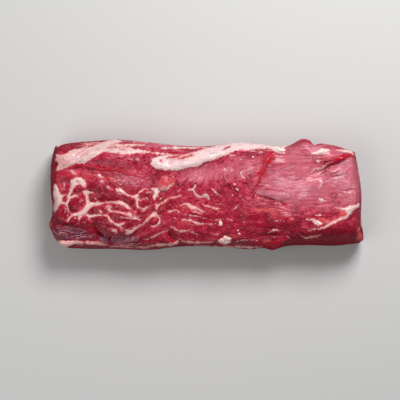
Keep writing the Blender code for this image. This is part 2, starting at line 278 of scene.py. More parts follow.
bare, GAPS = bare_form()
bare_normals = grid_normals(bare)
offset = smooth(drape(bare, bare_normals, solid_tree(solid)), 7)
offset[[0, -1], :] = 0
offset[:, [0, -1]] = 0
base = bare + bare_normals * offset[..., None]
A, B = base[..., 0], base[..., 1]
print("offset", round(float(offset.min()), 2), "to", round(float(offset.max()), 2), "mm")


# %% [markdown]
# The map of the meat is a set of strokes and patches. A stroke is a
# path with a half width, and a patch is an outline. For each point of the skin
# the lesson keeps the distance to their edges, in millimetres, not just "fat"
# or "lean". A distance can be cut by a sharp threshold in the material, so a
# thin vein has a crisp edge that the grid alone couldn't show.

# %% Distances to strokes and patches
SEARCH = 9.0


def path_distance(points, a, b):
    """Distance to a path, and how far along the path the nearest point lies, as a share."""
    nearest, share = np.full(a.shape, np.inf), np.zeros(a.shape)
    points = np.array(points, float)
    steps = np.hypot(*np.diff(points, axis=0).T)
    way = np.concatenate(([0.0], np.cumsum(steps)))
    for k, ((ax, ay), (bx, by)) in enumerate(zip(points[:-1], points[1:])):
        dx, dy = bx - ax, by - ay
        t = np.clip(((a - ax) * dx + (b - ay) * dy) / (dx * dx + dy * dy), 0, 1)
        gap = np.hypot(a - ax - t * dx, b - ay - t * dy)
        share = np.where(gap < nearest, (way[k] + t * steps[k]) / way[-1], share)
        nearest = np.minimum(nearest, gap)
    return nearest, share


def patch_depth(outline, a, b):
    """Depth inside an outline in millimetres, negative outside."""
    closed = list(outline) + [outline[0]]
    inside = np.zeros(a.shape, bool)
    for (ax, ay), (bx, by) in zip(closed[:-1], closed[1:]):
        if ay != by:
            crosses = ((ay > b) != (by > b)) & (a < (bx - ax) * (b - ay) / (by - ay) + ax)
            inside ^= crosses
    gap = path_distance(closed, a, b)[0]
    return np.where(inside, gap, -gap)


def near(points, a, b):
    """Which places lie within reach of a stroke or patch."""
    low, high = np.min(points, axis=0) - SEARCH, np.max(points, axis=0) + SEARCH
    return (a > low[0]) & (a < high[0]) & (b > low[1]) & (b < high[1])


def soft_union(first, second, fillet):
    """Larger of two depths, with a fillet in the corner where they meet."""
    mix = np.clip(0.5 + 0.5 * (second - first) / fillet, 0, 1)
    return first + (second - first) * mix + fillet * mix * (1 - mix)


def rounded(points, step=2.0):
    """A path's corners rounded, as points an even step apart."""
    length = float(np.hypot(*np.diff(np.array(points, float), axis=0).T).sum())
    count = max(2, round(length / step))
    return [tuple(p) for p in edge_curve(points, np.linspace(0, 1, count + 1))]


def stroke_width(points, half_width, share, taper):
    """Half width of a stroke at a share of its length: tapered ends and uneven between."""
    seed = round(10 * (points[0][0] + points[0][1]))
    length = math.dist(points[0], points[-1])
    uneven = np.clip(1 + 0.8 * noise(share * length / 3.6, 0.5 + 0 * share, seed), 0.3, 1.9)
    return half_width * uneven * (taper + (1 - taper) * np.sqrt(np.clip(np.sin(math.pi * share), 0, 1)))


def stroke_depth(field, points, half_width, a, b, taper=0.6, fillet=0.9):
    """Raises a depth field where a tapered stroke is deeper."""
    spot = near(points, a, b)
    gap, share = path_distance(rounded(points), a[spot], b[spot])
    depth = stroke_width(points, half_width, share, taper) - gap
    field[spot] = soft_union(field[spot], depth, fillet)


def oval_reach(a, b, centre, radii, turn):
    """Distance from the middle of an oval, as a share of its radius that way."""
    angle = math.radians(turn)
    u = ((a - centre[0]) * math.cos(angle) + (b - centre[1]) * math.sin(angle)) / radii[0]
    v = ((b - centre[1]) * math.cos(angle) - (a - centre[0]) * math.sin(angle)) / radii[1]
    return np.hypot(u, v)


def blob(a, b, centre, radii, turn):
    """Soft oval of height 1 on the plan."""
    return np.exp(-oval_reach(a, b, centre, radii, turn) ** 3)


# %% [markdown]
# Fat comes in three forms here. Thick sheets lie along the back edge and fan
# out at the left corner. A lattice of veins divides the left end into round
# lobes. Short streaks run through the middle. Each is listed where it lies.

# %% Thick fat: sheets and patches
FAT_PATCHES = {
    "back_band": [(101.3, 85.4), (105.4, 81), (114.7, 79.6), (127.4, 78.7), (137.3, 81.4), (149, 83.6),
                  (154, 87.2), (162, 89), (175.4, 94.3), (185.7, 98.8), (198, 99.7), (206.6, 100.1),
                  (222, 98.8), (226, 96.6), (231.4, 96), (233.7, 97), (234, 102), (236.8, 103.7),
                  (232.8, 105.7), (223.9, 104.2), (210, 106.4), (189, 108.4), (180, 107.7), (168, 105),
                  (156, 101.5), (147, 98.2), (138, 95.6), (129, 94.6), (120, 95), (112, 94), (106, 92.4),
                  (102.6, 89.6)],
    "corner_fan": [(6.6, 95.8), (10.8, 94.7), (17.1, 95.3), (24.5, 100), (35, 101.6), (42.4, 102.6),
                   (47.6, 105.3), (56, 108.8), (62.4, 111), (68.7, 110.4), (72.9, 108.6), (66, 106),
                   (60, 104), (68.7, 103.7), (79.2, 102.1), (90, 100), (101, 97.6), (96, 96.3),
                   (84.5, 95.8), (75, 95.3), (62.4, 96.3), (54, 97.4), (47.6, 92.6), (40.3, 88.4),
                   (35, 85.3), (26.6, 86.3), (23.4, 83.7), (16, 81), (10.8, 79.5), (7.6, 77.9), (8.7, 83.2),
                   (10.8, 86.3), (6.6, 89.5), (7.6, 92.6)],
    "top_cluster": [(21.7, 69.2), (27.5, 72.5), (35, 70.8), (38.3, 66.7), (37.5, 62.5), (35, 62.5),
                    (30.8, 66.7), (28.3, 64.2), (25, 60.8), (23.8, 58.3), (21.7, 59.2), (22.5, 64.2)],
    "second_node": [(34.2, 58.3), (38.3, 59.8), (39.6, 55), (40.8, 48.5), (43, 46), (38.3, 46),
                    (37.1, 52.5)],
    "pale_node": [(66, 62.6), (70, 62), (74, 59.6), (76, 57), (72.6, 56.4), (68, 59.4)],
    "vein_node": [(65.5, 47.3), (68, 49), (72.5, 49.4), (75.5, 47.4), (79.2, 45.3), (81.6, 41.2),
                  (78.4, 42.8), (75, 44.6), (70, 45.2)],
    "right_node": [(103, 60.8), (108.3, 62.8), (110.2, 58.3), (108, 54.2), (105.4, 49.6), (102.6, 53.3),
                   (105.2, 56.9)],
    "ring_node": [(98, 30.6), (103.3, 38.3), (105.8, 38.3), (108.2, 35), (103.3, 33)],
    "lobe_wedge": [(75.6, 18.6), (79.2, 17.1), (83.3, 19.6), (87.5, 22.3), (92.6, 25.4), (89.2, 25.6),
                   (82.5, 22), (76.7, 20.4)],
    "left_edge": [(6, 65.8), (8.5, 65), (10.5, 61), (11.4, 56.4), (14, 54), (13.6, 48.2), (10, 43),
                  (8.3, 39.7), (4.3, 37.4), (3.4, 43), (4.2, 50), (4, 58)],
    "lattice_knot": [(18, 29.6), (22.5, 34.2), (22.5, 36.7), (28.3, 36.7), (35, 41.7), (38.3, 46.9),
                     (45, 46.9), (50, 47.6), (52, 46), (45, 43.3), (41.7, 42.5), (40, 40), (38.3, 36.7),
                     (42.6, 33.3), (40, 32.4), (37.5, 35), (34.2, 34.2), (30.8, 31), (30, 34.2),
                     (26.7, 35), (22.5, 32.5), (19, 28)],
    "back_patch": [(259.6, 96.1), (267, 98.4), (270.3, 101.5), (277.4, 100.1), (278.3, 98.4), (273, 94.8),
                   (260.5, 94.3)],
    "end_wedge": [(284.6, 99.5), (293, 100.3), (300.6, 99.6), (306.4, 96), (304, 94.6), (295, 97),
                  (286, 98.2)],
    "back_triangle": [(264, 89.8), (269, 89.6), (266.3, 86)],
    "front_seam": [(256, 19.1), (268.5, 21), (276, 23.2), (282.8, 27.2), (289, 30), (294.4, 31.6),
                   (298.4, 35.2), (302.4, 40.6), (308.7, 44.1), (308.7, 47.7), (302.9, 45), (296.2, 43.7),
                   (292.6, 41.5), (287.3, 42.8), (282, 42.8), (288, 40.6), (292, 39.5), (295, 36.5),
                   (293, 34), (287, 32), (281, 29), (275, 25.5), (268, 22.6), (256, 20.3)],
    "tongue": [(254, 31.6), (263, 31.6), (268.5, 28.4), (270.3, 26.7), (267.2, 24.5), (264, 25.8),
               (260, 29.5), (254, 30.4)],
    "small_nugget": [(167.5, 25), (170, 29.3), (172, 28), (171.8, 24.5)],
    "nugget": [(168.8, 10.5), (170, 12.3), (173.5, 12.6), (175.5, 14.8), (178, 13.5), (178.3, 11.8),
               (180.6, 11.2), (180.8, 8.8), (178.5, 6.4), (174, 5.6), (170, 7), (168.8, 8.6)],
    "middle_triangle": [(105.6, 46.7), (109.6, 44.6), (107.8, 40.6), (105.8, 43)],
}

print("patches of fat:", len(FAT_PATCHES))

# %% [markdown]
# The veins of the left end meet in knots, so they are short paths from knot to
# knot. Each row is a half width in millimetres and a path.

# %% Fat veins of the left end
LATTICE = [
    (1.3, [(22.8, 60), (20.8, 54), (20.3, 50.8), (18.2, 45.6), (20, 41), (20.8, 37)]),
    (1, [(13.5, 47.7), (18.2, 45.6)]),
    (0.91, [(13.5, 54), (17.7, 55), (20.8, 54)]),
    (1.4, [(20.8, 52), (23, 52.6), (27, 54.4), (29.7, 53.5)]),
    (1.3, [(37.6, 57), (41, 57.6), (44.4, 57)]),
    (0.91, [(31, 34), (30.6, 30.7)]),
    (1.2, [(45, 45.6), (52, 46.4), (58, 47.6), (65.6, 48.2)]),
    (1.2, [(60, 41), (61.7, 39.2), (67.5, 38.3), (74, 37)]),
    (1, [(60.4, 43.4), (60, 40.6)]),
    (1.4, [(76.7, 36.9), (82, 35)]),
    (0.91, [(75, 42.8), (81.7, 40.8)]),
    (1.3, [(42, 34.2), (53.3, 35), (59.2, 34.2), (61.7, 30), (66.7, 26.7), (70, 25), (72.5, 20.8)]),
    (1, [(70, 25), (75.4, 27.8)]),
    (1, [(63.3, 20.8), (68, 20)]),
    (1.2, [(75, 57.2), (80.8, 54), (87.5, 53.4), (90.4, 57.6), (94.4, 60.2)]),
    (1.2, [(87.5, 53.4), (87.6, 49.6), (88.4, 44)]),
    (0.78, [(88.3, 50), (95, 50.8)]),
    (1, [(88.4, 42.6), (95, 41.8), (98.4, 42.8)]),
    (0.78, [(93.3, 39.2), (98, 42.4)]),
    (1, [(86.2, 32.2), (91, 30)]),
    (1, [(92, 25), (95, 27.6), (98.6, 31)]),
    (1.2, [(107, 36), (110.4, 31.7), (109.2, 26.7), (105, 24.2), (101.2, 24)]),
    (1, [(108.8, 44.4), (112, 46.8), (116, 48.4)]),
    (0.91, [(103.4, 61), (98.6, 60.4), (95, 61.6)]),
    (2.1, [(49.6, 74.6), (52.3, 73.4)]),
    (0.78, [(62, 71.8), (66, 70.5), (71, 70)]),
    (0.78, [(57, 43.5), (60, 44.5), (63, 43)]),
    (0.78, [(51, 40.5), (53, 37.5)]),
    (0.65, [(84, 38.5), (87, 38)]),
    (0.78, [(14, 60), (16, 64), (15.4, 67)]),
    (0.91, [(97, 52.6), (98.6, 50.4)]),
    (0.65, [(46.5, 52), (50, 49)]),
]

print("veins of the left end:", len(LATTICE))

# %% [markdown]
# The streaks of the middle and the right end rarely meet. Most are shorter than
# a finger is wide, and they follow the fibres.

# %% Fat streaks of the middle and right
STREAKS = [
    (1.2, [(136.4, 59.3), (142.6, 60.2), (144, 58), (147.5, 54), (150.6, 53.1), (155, 54.4), (157.8, 53),
           (158.2, 50.4)]),
    (1.6, [(153.5, 54.6), (157.6, 54.6)]),
    (0.8, [(161, 61.6), (165, 58.4), (169.8, 54)]),
    (0.9, [(115, 48.6), (118.5, 51.3), (125.2, 52.6), (132.3, 54.9)]),
    (1.7, [(129.7, 44.6), (136.4, 46), (141.7, 42.8), (148.4, 41), (152.4, 38.3)]),
    (0.8, [(142.6, 60), (145.8, 63.4)]),
    (1.3, [(118.5, 38), (121.6, 38.8), (126.5, 40.1), (129.7, 37.4)]),
    (0.8, [(152, 47.3), (154.7, 44.1), (159.6, 43.7), (165.4, 41.5), (170.3, 42)]),
    (0.5, [(181.6, 40.1), (184.8, 42), (187.9, 45)]),
    (1.1, [(131.9, 30.7), (141.7, 29.4), (146.2, 27.2), (153.3, 26.3)]),
    (0.7, [(155.6, 26.7), (164.5, 25.4)]),
    (0.9, [(120.7, 23.6), (124.8, 22.7), (126.5, 20.5), (132.8, 19.1), (138.6, 20), (144, 17.4),
           (148.9, 15.6)]),
    (0.8, [(95.5, 9.8), (103.6, 13.8), (113, 18.3), (118.3, 20)]),
    (0.5, [(163.8, 29.4), (172.7, 31.2)]),
    (0.5, [(176.7, 31.6), (182, 30)]),
    (0.6, [(191, 29), (195, 27.2)]),
    (0.5, [(176.7, 23.6), (180.3, 23.6)]),
    (0.6, [(162, 17), (164.7, 15.6), (170, 17.4)]),
    (0.8, [(187.2, 20), (187.8, 19.6)]),
    (0.7, [(188.3, 17), (189.6, 16.4)]),
    (1.0, [(110, 51), (111.5, 51)]),
    (0.9, [(193.3, 78.7), (190.6, 77), (191, 73.8), (195, 70.7)]),
    (1.0, [(202.2, 92), (203, 92)]),
    (0.7, [(200, 89.4), (203.5, 87.6)]),
    (0.8, [(176, 68.8), (177.4, 68)]),
    (1.1, [(183, 66.4), (185.5, 65.4)]),
    (0.7, [(184.5, 61), (187, 60.8), (188, 59.2)]),
    (1.0, [(181.4, 55.4), (183.4, 54.2)]),
    (0.5, [(178, 93.6), (185.5, 94.2)]),
    (0.5, [(188, 91.2), (192.3, 89.4)]),
    (0.7, [(188.6, 54.2), (191, 54)]),
    (0.7, [(274, 93), (281, 94)]),
    (0.6, [(281, 88.5), (274.8, 85.4), (268.5, 80), (263, 81), (260.5, 78), (256, 75)]),
    (0.6, [(272, 83), (269.4, 82.6), (265.6, 79.4)]),
    (0.8, [(260.6, 70.8), (265, 69.8), (270, 67.8), (268, 63), (267, 60.8)]),
    (0.7, [(300.6, 61.7), (305.6, 64.4)]),
    (0.6, [(249, 66), (254, 68), (261, 69)]),
    (1.2, [(266.3, 51.3), (273.9, 48.6)]),
    (0.8, [(264, 35.2), (272, 34.8)]),
    (0.7, [(246, 52.6), (250.6, 51.3)]),
    (0.7, [(239, 31.6), (242, 31.8)]),
    (0.6, [(224, 29.4), (228, 29.4)]),
    (0.7, [(216.7, 16.5), (223.9, 20), (232, 19.6)]),
    (1.0, [(249.8, 14.7), (255, 12.4), (261.8, 13.8), (269.4, 15.1)]),
    (0.6, [(234.6, 15.1), (239, 11.6)]),
    (0.7, [(305.6, 19.1), (311, 23.6)]),
    (1.6, [(58, 103.8), (75, 104.4), (95, 104.8)]),
    (0.7, [(26.6, 103.4), (40, 105.4), (56, 107.4)]),
    (0.5, [(29.7, 106.4), (49.7, 108)]),
    (1.5, [(111.8, 101.2), (125, 102), (140, 102), (155, 102)]),
    (0.6, [(90, 107.2), (104, 106)]),
    (0.9, [(98, 97.4), (110, 96), (121, 95.6)]),
    (0.6, [(25, 11.4), (32.5, 13.3), (43.3, 14.2)]),
    (0.45, [(2.5, 20), (8.3, 16.7), (12.5, 17.5), (17.5, 17.3)]),
    (3.0, [(13.4, 6.2), (17, 5.6)]),
    (1.9, [(16, 8.0), (34, 7.5), (56, 6.2)]),
    (0.6, [(52, 5.4), (63.4, 4.4), (81, 2.6), (94.6, 2.6), (102, 4)]),
    (0.5, [(60, 2.4), (80, 5.0), (100, 2.0)]),
    (1.7, [(98, 4.4), (110, 5.4), (120, 5.8), (129, 8.6)]),
    (1.2, [(132, 9.4), (141.7, 8), (162.7, 8)]),
    (1.0, [(144, 4.5), (168, 3.4), (186, 3.0)]),
    (1.7, [(186, 3.6), (202, 2.8), (212, 3.2)]),
    (0.8, [(186, 9.4), (196, 10.4), (208, 10)]),
]


print("streaks:", len(STREAKS))

# %% [markdown]
# Lean also shows between the sheets of fat. These strokes are cut out of the fat
# again once it is drawn.

# %% Lean between the sheets of fat
LEAN_STREAKS = [
    (1.4, [(78, 107), (95, 106.6), (125, 105.2), (158, 104.4)]),
    (1.3, [(84, 101), (98, 101.2), (112, 99)]),
    (1.1, [(114, 98.8), (130, 99), (146, 100)]),
    (0.6, [(58, 101.4), (66, 101.6), (76, 100)]),
    (0.8, [(111, 89), (112.2, 88.6)]),
    (0.9, [(128.7, 90.6), (136, 92.4), (143, 94.6)]),
    (0.6, [(117, 92), (124, 92.4), (130, 93.6)]),
    (0.5, [(207, 101.2), (213, 100.6), (219, 100.9)]),
    (0.5, [(172, 99.6), (180, 103)]),
    (1.0, [(4.6, 50.6), (5.0, 47.6)]),
    (0.8, [(28.6, 68.4), (30.4, 67.6)]),
]

print("strokes of lean:", len(LEAN_STREAKS))


# %% [markdown]
# All the fat goes into one depth field. A positive value is inside fat, and its
# size says how far the nearest lean is. Wavering the places that are looked up
# by about a millimetre takes the ruler-drawn look away from the strokes.

# %% The fat field
WAVER = 0.55


def waver(a, b):
    """How far the place looked up is moved along and inward."""
    return [WAVER * noise(a / 3.1, b / 3.1, seed) + 0.6 * WAVER * noise(a / 1.4, b / 1.4, seed + 1)
            for seed in (11, 13)]


drift_a, drift_b = waver(A, B)
wavered_a, wavered_b = A + drift_a, B + drift_b
fat = np.full(A.shape, -SEARCH)
for outline in FAT_PATCHES.values():
    spot = near(outline, A, B)
    fat[spot] = np.maximum(fat[spot], patch_depth(outline, wavered_a[spot], wavered_b[spot]))
for share, taper, fillet, strokes in ((0.62, 0.7, 2.6, LATTICE), (0.9, 0.2, 1.4, STREAKS)):
    for half_width, points in strokes:
        stroke_depth(fat, points, share * half_width, wavered_a, wavered_b, taper=taper, fillet=fillet)
lean_cut = np.full(A.shape, -SEARCH)
for half_width, points in LEAN_STREAKS:
    stroke_depth(lean_cut, points, half_width, wavered_a, wavered_b, taper=0.35)
fat = np.minimum(fat, -lean_cut)
print("share of the skin that is fat:", round(float((fat > 0).mean()), 3))


# %% [markdown]
# The lean isn't one red either. The left lobes are dark crimson, the middle is
# purple-crimson, the right end lies under pale silverskin, and the torn edges
# are wet scarlet. Each of these is a soft mask from a few ellipses and strokes.
# The lobes are crisp ovals instead, and are kept as a depth like the fat.

# %% Masks for the colours of the lean
FILM = [((250, 66), (47, 27), -4, 1.0), ((30, 77), (24, 5), -6, 0.4), ((297, 68), (18, 30), 0, 1.0),
        ((155, 76), (34, 10), 8, 0.78), ((195, 82), (32, 14), 4, 0.72), ((84, 70), (26, 8), -12, 0.55),
        ((262, 98), (42, 9), -4, 0.8), ((244, 90), (22, 9), 0, 0.9), ((120, 105), (52, 4.5), -1, 0.8),
        ((35, 106), (24, 1.2), 8, 0.3), ((274, 46), (28, 9), 4, 0.55), ((214, 48), (26, 7), 8, 0.5),
        ((236, 38), (34, 12), -4, 0.4), ((34, 13), (24, 4), 3, 0.32), ((55, 11), (6, 6), 0, 0.9),
        ((74, 10), (16, 4), 0, 0.35), ((242, 82), (12, 3), 16, 0.6), ((284, 74.5), (8, 2), 12, 0.6)]
LOBES = [((17.5, 62.5), (3.6, 4.6), 0), ((16.2, 57), (3.4, 2.6), 0), ((17, 50), (2.8, 4), 0),
         ((28.3, 64.2), (3, 2.2), 0), ((29.2, 59.2), (5.2, 3.2), 0), ((27, 45), (7.8, 7), 20),
         ((44, 62.5), (11, 4.8), -22), ((49, 53), (9.6, 5), -4), ((64, 51), (7.4, 3.8), -18),
         ((43.8, 38.8), (4.6, 3.8), 20), ((53.3, 40), (5.2, 3.4), 10), ((65.4, 43), (5.6, 2.6), -8),
         ((77, 41.6), (4.4, 3.2), -20), ((70, 33.6), (10.5, 4.2), -14), ((51.7, 28.3), (12, 5), -35),
         ((65.6, 23.2), (4.8, 2.4), -24), ((63, 17.6), (10, 2.8), -10), ((79.2, 24.4), (6, 3.2), 24),
         ((80, 50), (6.6, 5.2), -30), ((95, 55.4), (6.6, 3.6), 6), ((94, 46), (6.8, 2.9), 0),
         ((93.5, 38), (6.4, 2.9), 4), ((104.6, 29), (5, 3.8), 30), ((25, 29.4), (4.8, 3.8), 10),
         ((35.8, 29.4), (4.8, 4.6), 0), ((9.2, 34), (5, 5.6), 0), ((16.6, 36.6), (2.8, 5.4), 10),
         ((110.4, 50.4), (4, 2.8), 0), ((111, 39), (3.8, 3.6), 0), ((88, 31), (5.4, 2.8), 26)]
# Darker meat: centre, radii, turn and strength. The rows at (62, 15.6), (12, 27.4) and (44, 62.5) are
# painted shade under the eye overhang, in a crease and beside a lobe.
DARK_AND_SHADE_SPOTS = [((45, 39), (6, 4.6), 0, 1.5), ((12, 27.4), (11, 2.6), -6, 1.2), ((44, 62.5), (7, 3), 60, 1.0),
        ((62, 15.6), (24, 2.6), -3, 1.2), ((99, 53), (8, 3.4), -20, 0.9), ((9, 37), (4, 6), 10, 0.8),
        ((208, 33), (14, 3.6), 2, 0.7), ((209, 25.4), (15, 3), 3, 0.9), ((232, 31), (16, 3), -3, 0.5),
        ((118, 45), (5, 4), 0, 0.5), ((123, 34), (8, 4), 0, 0.5), ((142, 36), (12, 3), -6, 0.45),
        ((24, 104), (26, 5), 10, 0.85), ((22, 17), (18, 6), 0, 0.7), ((286, 10), (48, 13), 8, 1.25),
        ((206, 33), (20, 4.5), 4, 0.75), ((232, 27), (30, 5), 6, 0.6), ((276, 82), (9, 6), 30, 0.95),
        ((170, 28), (52, 20), 2, 0.42), ((30, 50), (30, 26), 0, 0.1), ((36, 16), (32, 5), 2, 0.95),
        ((80, 9), (34, 5), 0, 0.85), ((224, 14), (17, 3.8), 0, 1.3), ((14, 33), (10, 9), 0, 0.5),
        ((57, 58), (14, 7), -20, 0.25), ((98, 48), (12, 10), 0, 0.3), ((77, 86), (28, 6), -3, 0.2),
        ((40, 82), (22, 2.5), -5, 0.3), ((64, 68), (12, 4), -40, 0.5), ((105, 6), (24, 4), 0, 0.8),
        ((150, 5), (34, 3), 0, 0.7)]
# Wet scarlet patches: centre, radii, turn and strength. The spot at (13, 33) is a painted highlight on a
# round lobe.
SCARLET_AND_HIGHLIGHTS = [((208, 33), (14, 3.4), 2, 0.5), ((209, 25.4), (15, 2.8), 3, 0.45),
           ((232, 31), (16, 3), -3, 0.5), ((38, 74), (12, 6), -8, 0.6), ((17, 75), (13, 7), 0, 0.55),
           ((290, 35), (6, 4), 40, 1.0), ((268, 33), (18, 4), 6, 0.45), ((222, 43), (14, 3), 4, 0.25),
           ((220, 6), (14, 4.5), 0, 1.0), ((216, 90), (6, 8), -60, 0.7), ((213, 77), (4.5, 8), 10, 0.6),
           ((118, 66), (8, 7), 0, 0.9), ((28, 44), (8, 7), 0, 0.35), ((13, 33), (8, 7), 0, 0.35),
           ((80, 22), (14, 5), 20, 0.3), ((140, 40), (14, 4), -16, 0.45), ((150, 60), (12, 6), 0, 0.35),
           ((307, 14), (6, 8), 0, 0.5)]
# Coral where thin meat lies over fat: centre, radii, turn and strength. The spot at (33, 41) is a painted
# reflection on a lobe.
CORAL_AND_HIGHLIGHTS = [((212, 40), (15, 2.8), 0, 0.8), ((118, 66), (8, 7), 0, 0.75), ((36, 73), (13, 5), -12, 0.5),
         ((20, 67), (9, 5), 0, 0.35), ((60, 68.6), (15, 2.6), -32, 0.75), ((44, 73.6), (9, 3.4), 0, 0.45),
         ((33, 41), (5, 3.5), 30, 0.9), ((30, 57), (4, 3), 0, 0.5), ((291, 36), (6, 4), 40, 0.9),
         ((272, 30), (9, 2.5), -10, 0.9), ((226, 36), (10, 2), 0, 0.5), ((62, 24), (16, 3), -14, 0.15),
         ((135, 42), (12, 3), -16, 0.55), ((142, 27), (14, 3), -8, 0.6), ((160, 44), (12, 2.5), 0, 0.4),
         ((309, 13), (4, 6), 0, 0.9), ((216, 9), (12, 3), 0, 0.5), ((272, 83), (5, 3), 30, 0.5),
         ((276, 91), (8, 2.5), 20, 0.6), ((218, 92), (3, 6), -60, 0.7), ((184, 14), (8, 3), 0, 0.6),
         ((106, 54), (8, 6), 0, 0.2), ((70, 40), (8, 3), -10, 0.2), ((88, 27), (10, 3), 26, 0.3),
         ((46, 49), (12, 2), 0, 0.35), ((122, 52), (10, 2), 14, 0.6)]
VEIL = [((14, 14), (13, 6), -8, 0.95), ((224, 14), (14, 2.6), 0, 0.45), ((32, 13), (16, 5), 4, 0.8),
        ((55, 11), (5, 5), 0, 1.0), ((74, 10.5), (16, 4), 0, 0.85), ((22, 20), (20, 5), -4, 0.85),
        ((100, 7), (20, 3), 0, 0.5), ((20, 104), (14, 2), 8, 0.6), ((126, 79), (8, 3), 0, 0.75),
        ((84, 68), (12, 5), -20, 0.3), ((236, 82), (10, 2), 22, 0.55), ((68, 58.5), (6, 3), -30, 0.6),
        ((112, 90), (10, 5), 0, 0.35), ((30, 89), (14, 4), 30, 0.3), ((284, 74), (10, 3), 8, 0.35),
        ((215, 48), (14, 2.5), -6, 0.4)]
SCARLET_STROKES = [
    (2.1, [(23.5, 82.7), (28, 84.4), (38.6, 83.8), (47.6, 82.3), (52, 80), (68, 81), (77, 76.5),
           (88, 73.8)]),
    (1.9, [(276, 84), (284, 88.4), (293, 92.5), (301.6, 94.6)]),
    (2.2, [(222.5, 98), (219, 92), (216, 86.5), (213, 81)]),
    (1.5, [(214.6, 83), (211.4, 77), (206.4, 74.4), (204, 72)]),
    (0.5, [(210, 72), (209, 67), (204, 59)]),
    (1.1, [(202.6, 54.5), (212.5, 52.1), (219.2, 49.5), (237, 45.1)]),
    (1.5, [(115.8, 18.3), (118.5, 11.6), (123.9, 8.4), (128, 7.6)]),
    (1.0, [(41.3, 27.2), (50.7, 18.7)]),
]
# Cuts, pockets, creases and cracks: half width, strength and path. The strength sets both how far the skin
# sinks there and how much painted shade darkens it.
SHADED_CREVICES = [
    (1.6, 1.0,
     [(45, 23.6), (51, 17), (60, 11.8), (70, 10.6), (78, 13), (84, 15.6), (92, 19.6), (99, 22.4)]),
    (1.3, 0.5, [(55.8, 70.7), (62, 66.5), (68, 62.2), (72.3, 60.6)]),
    (1.2, 0.95, [(119.2, 18), (119.8, 14.4), (123.9, 11.2), (128.5, 9.8)]),
    (2.0, 0.38, [(207.6, 13.6), (214, 15.4), (226, 14.6), (240, 14)]),
    (1.0, 0.8, [(207, 101), (220, 100.6), (228, 95.4), (236, 96)]),
    (1.4, 0.8, [(283, 86), (277, 82.6), (270, 78)]),
    (0.8, 0.85, [(287, 60.2), (292, 59.4), (298, 59.8), (304, 61.2)]),
    (0.8, 0.85, [(238, 68.6), (244, 69.2), (248, 70.2), (252.6, 70.6)]),
    (0.8, 0.75, [(279.7, 71.6), (285, 73.6), (292, 74.4)]),
    (0.5, 0.7, [(228.6, 57.4), (230.4, 58.6), (231, 55.4)]),
    (0.5, 0.65, [(228, 53), (233, 53.8), (238, 52.2)]),
    (0.5, 0.6, [(271, 62.6), (276, 59.6), (280, 55.4), (285, 54.2), (288, 57)]),
    (0.5, 0.6, [(272, 66), (276, 70.4), (278, 76)]),
    (0.45, 0.6, [(249, 60), (251, 56), (256, 54.4)]),
    (0.9, 0.6, [(122.5, 66.5), (127, 63.2)]),
    (0.8, 0.5, [(24, 80.4), (34, 81.6), (50, 78.4)]),
    (1.3, 0.92, [(3.5, 28), (12, 25.6), (20, 24.4), (30, 22.6), (38, 21)]),
    (1.0, 0.6, [(260, 93), (270, 93.4), (277, 96.6)]),
    (0.7, 0.5, [(224, 96.8), (218.8, 88.5), (215.6, 83.5), (211.8, 76.5), (209.8, 70), (208.4, 64)]),
    (0.6, 0.4, [(27, 21), (31, 27)]),
    (0.7, 0.4, [(36.5, 22), (34.6, 30)]),
    (1.2, 0.8, [(9, 11), (24, 9.8), (48, 9.4), (56, 5)]),
    (1.2, 0.8, [(202.4, 54.9), (212.5, 52.5), (219.2, 49.9), (228.4, 47.3), (237, 45.5)]),
    (0.5, 0.85, [(170.5, 67), (172.5, 60), (176, 54), (181, 45)]),
    (0.45, 0.8, [(180, 69), (184, 61), (187, 55)]),
    (0.5, 0.85, [(193, 74), (198, 67), (201.5, 60), (207, 57)]),
    (0.6, 0.8, [(147.5, 71), (145.6, 66), (149, 62), (156, 61)]),
    (0.45, 0.75, [(163, 69), (166, 62), (170, 57)]),
    (0.5, 0.75, [(188, 60), (192, 52), (198, 45)]),
    (0.5, 0.75, [(154, 50), (166, 47), (178, 46.6)]),
    (0.6, 0.75, [(132, 37), (146, 35), (160, 32)]),
    (0.6, 0.45, [(118, 33.6), (132, 32)]),
    (1.6, 0.6, [(129, 60), (132, 64), (136, 66)]),
    (0.5, 0.85, [(210, 72), (209.4, 66.4), (204, 58.6), (198, 52)]),
    (0.5, 0.75, [(223, 71.4), (236, 73), (247, 76.6)]),
    (0.45, 0.65, [(233, 62), (247, 60), (262, 62)]),
    (0.4, 0.4, [(262, 88), (268, 84), (276, 80)]),
    (0.6, 0.7, [(259, 74.4), (268, 78.6), (277, 84)]),
    (0.5, 0.7, [(263, 72.6), (272, 77), (281, 82.6)]),
    (0.5, 0.65, [(268, 72), (277, 76.4), (285, 82)]),
    (0.5, 0.5, [(208, 44.4), (216, 43.4), (228, 41)]),
    (0.5, 0.55, [(196, 29.4), (208, 29), (222, 28)]),
]


def soft_masks(ellipses):
    """Largest of several soft ellipses at each point."""
    field = np.zeros(A.shape)
    for centre, radii, turn, strength in ellipses:
        field = np.maximum(field, strength * blob(A, B, centre, radii, turn))
    return field


EYE = ((68, 30), (26, 15), -14, 0.3)
BLUSH = [((14, 86), (14, 12), 0, 0.6), ((32, 97), (26, 8), 26, 0.45), ((16.2, 89.4), (2.8, 2), -30, 1.3),
         ((121, 87.4), (3, 2.4), 0, 0.4), ((70, 101), (26, 8), 0, 0.2), ((8, 52), (9, 16), 0, 0.22),
         ((60, 45), (58, 34), 0, 0.24), ((150, 36), (60, 30), 0, 0.38), ((174, 10), (9, 7), 0, 0.5),
         ((14, 7), (16, 5), 0, 0.55), ((70, 5), (60, 5.5), 0, 0.95), ((150, 6), (40, 6), 0, 0.75),
         ((205, 2), (20, 4), 0, 0.4), ((280, 32), (34, 24), 0, 0.12), ((130, 93), (18, 5), 6, 0.35),
         ((262, 14), (16, 6), 0, 0.7), ((34, 13), (18, 4), 0, 0.6)]
THIN_MEAT = (0.9, -1.3)
LOBE_DARK = 0.7
film = soft_masks(FILM)
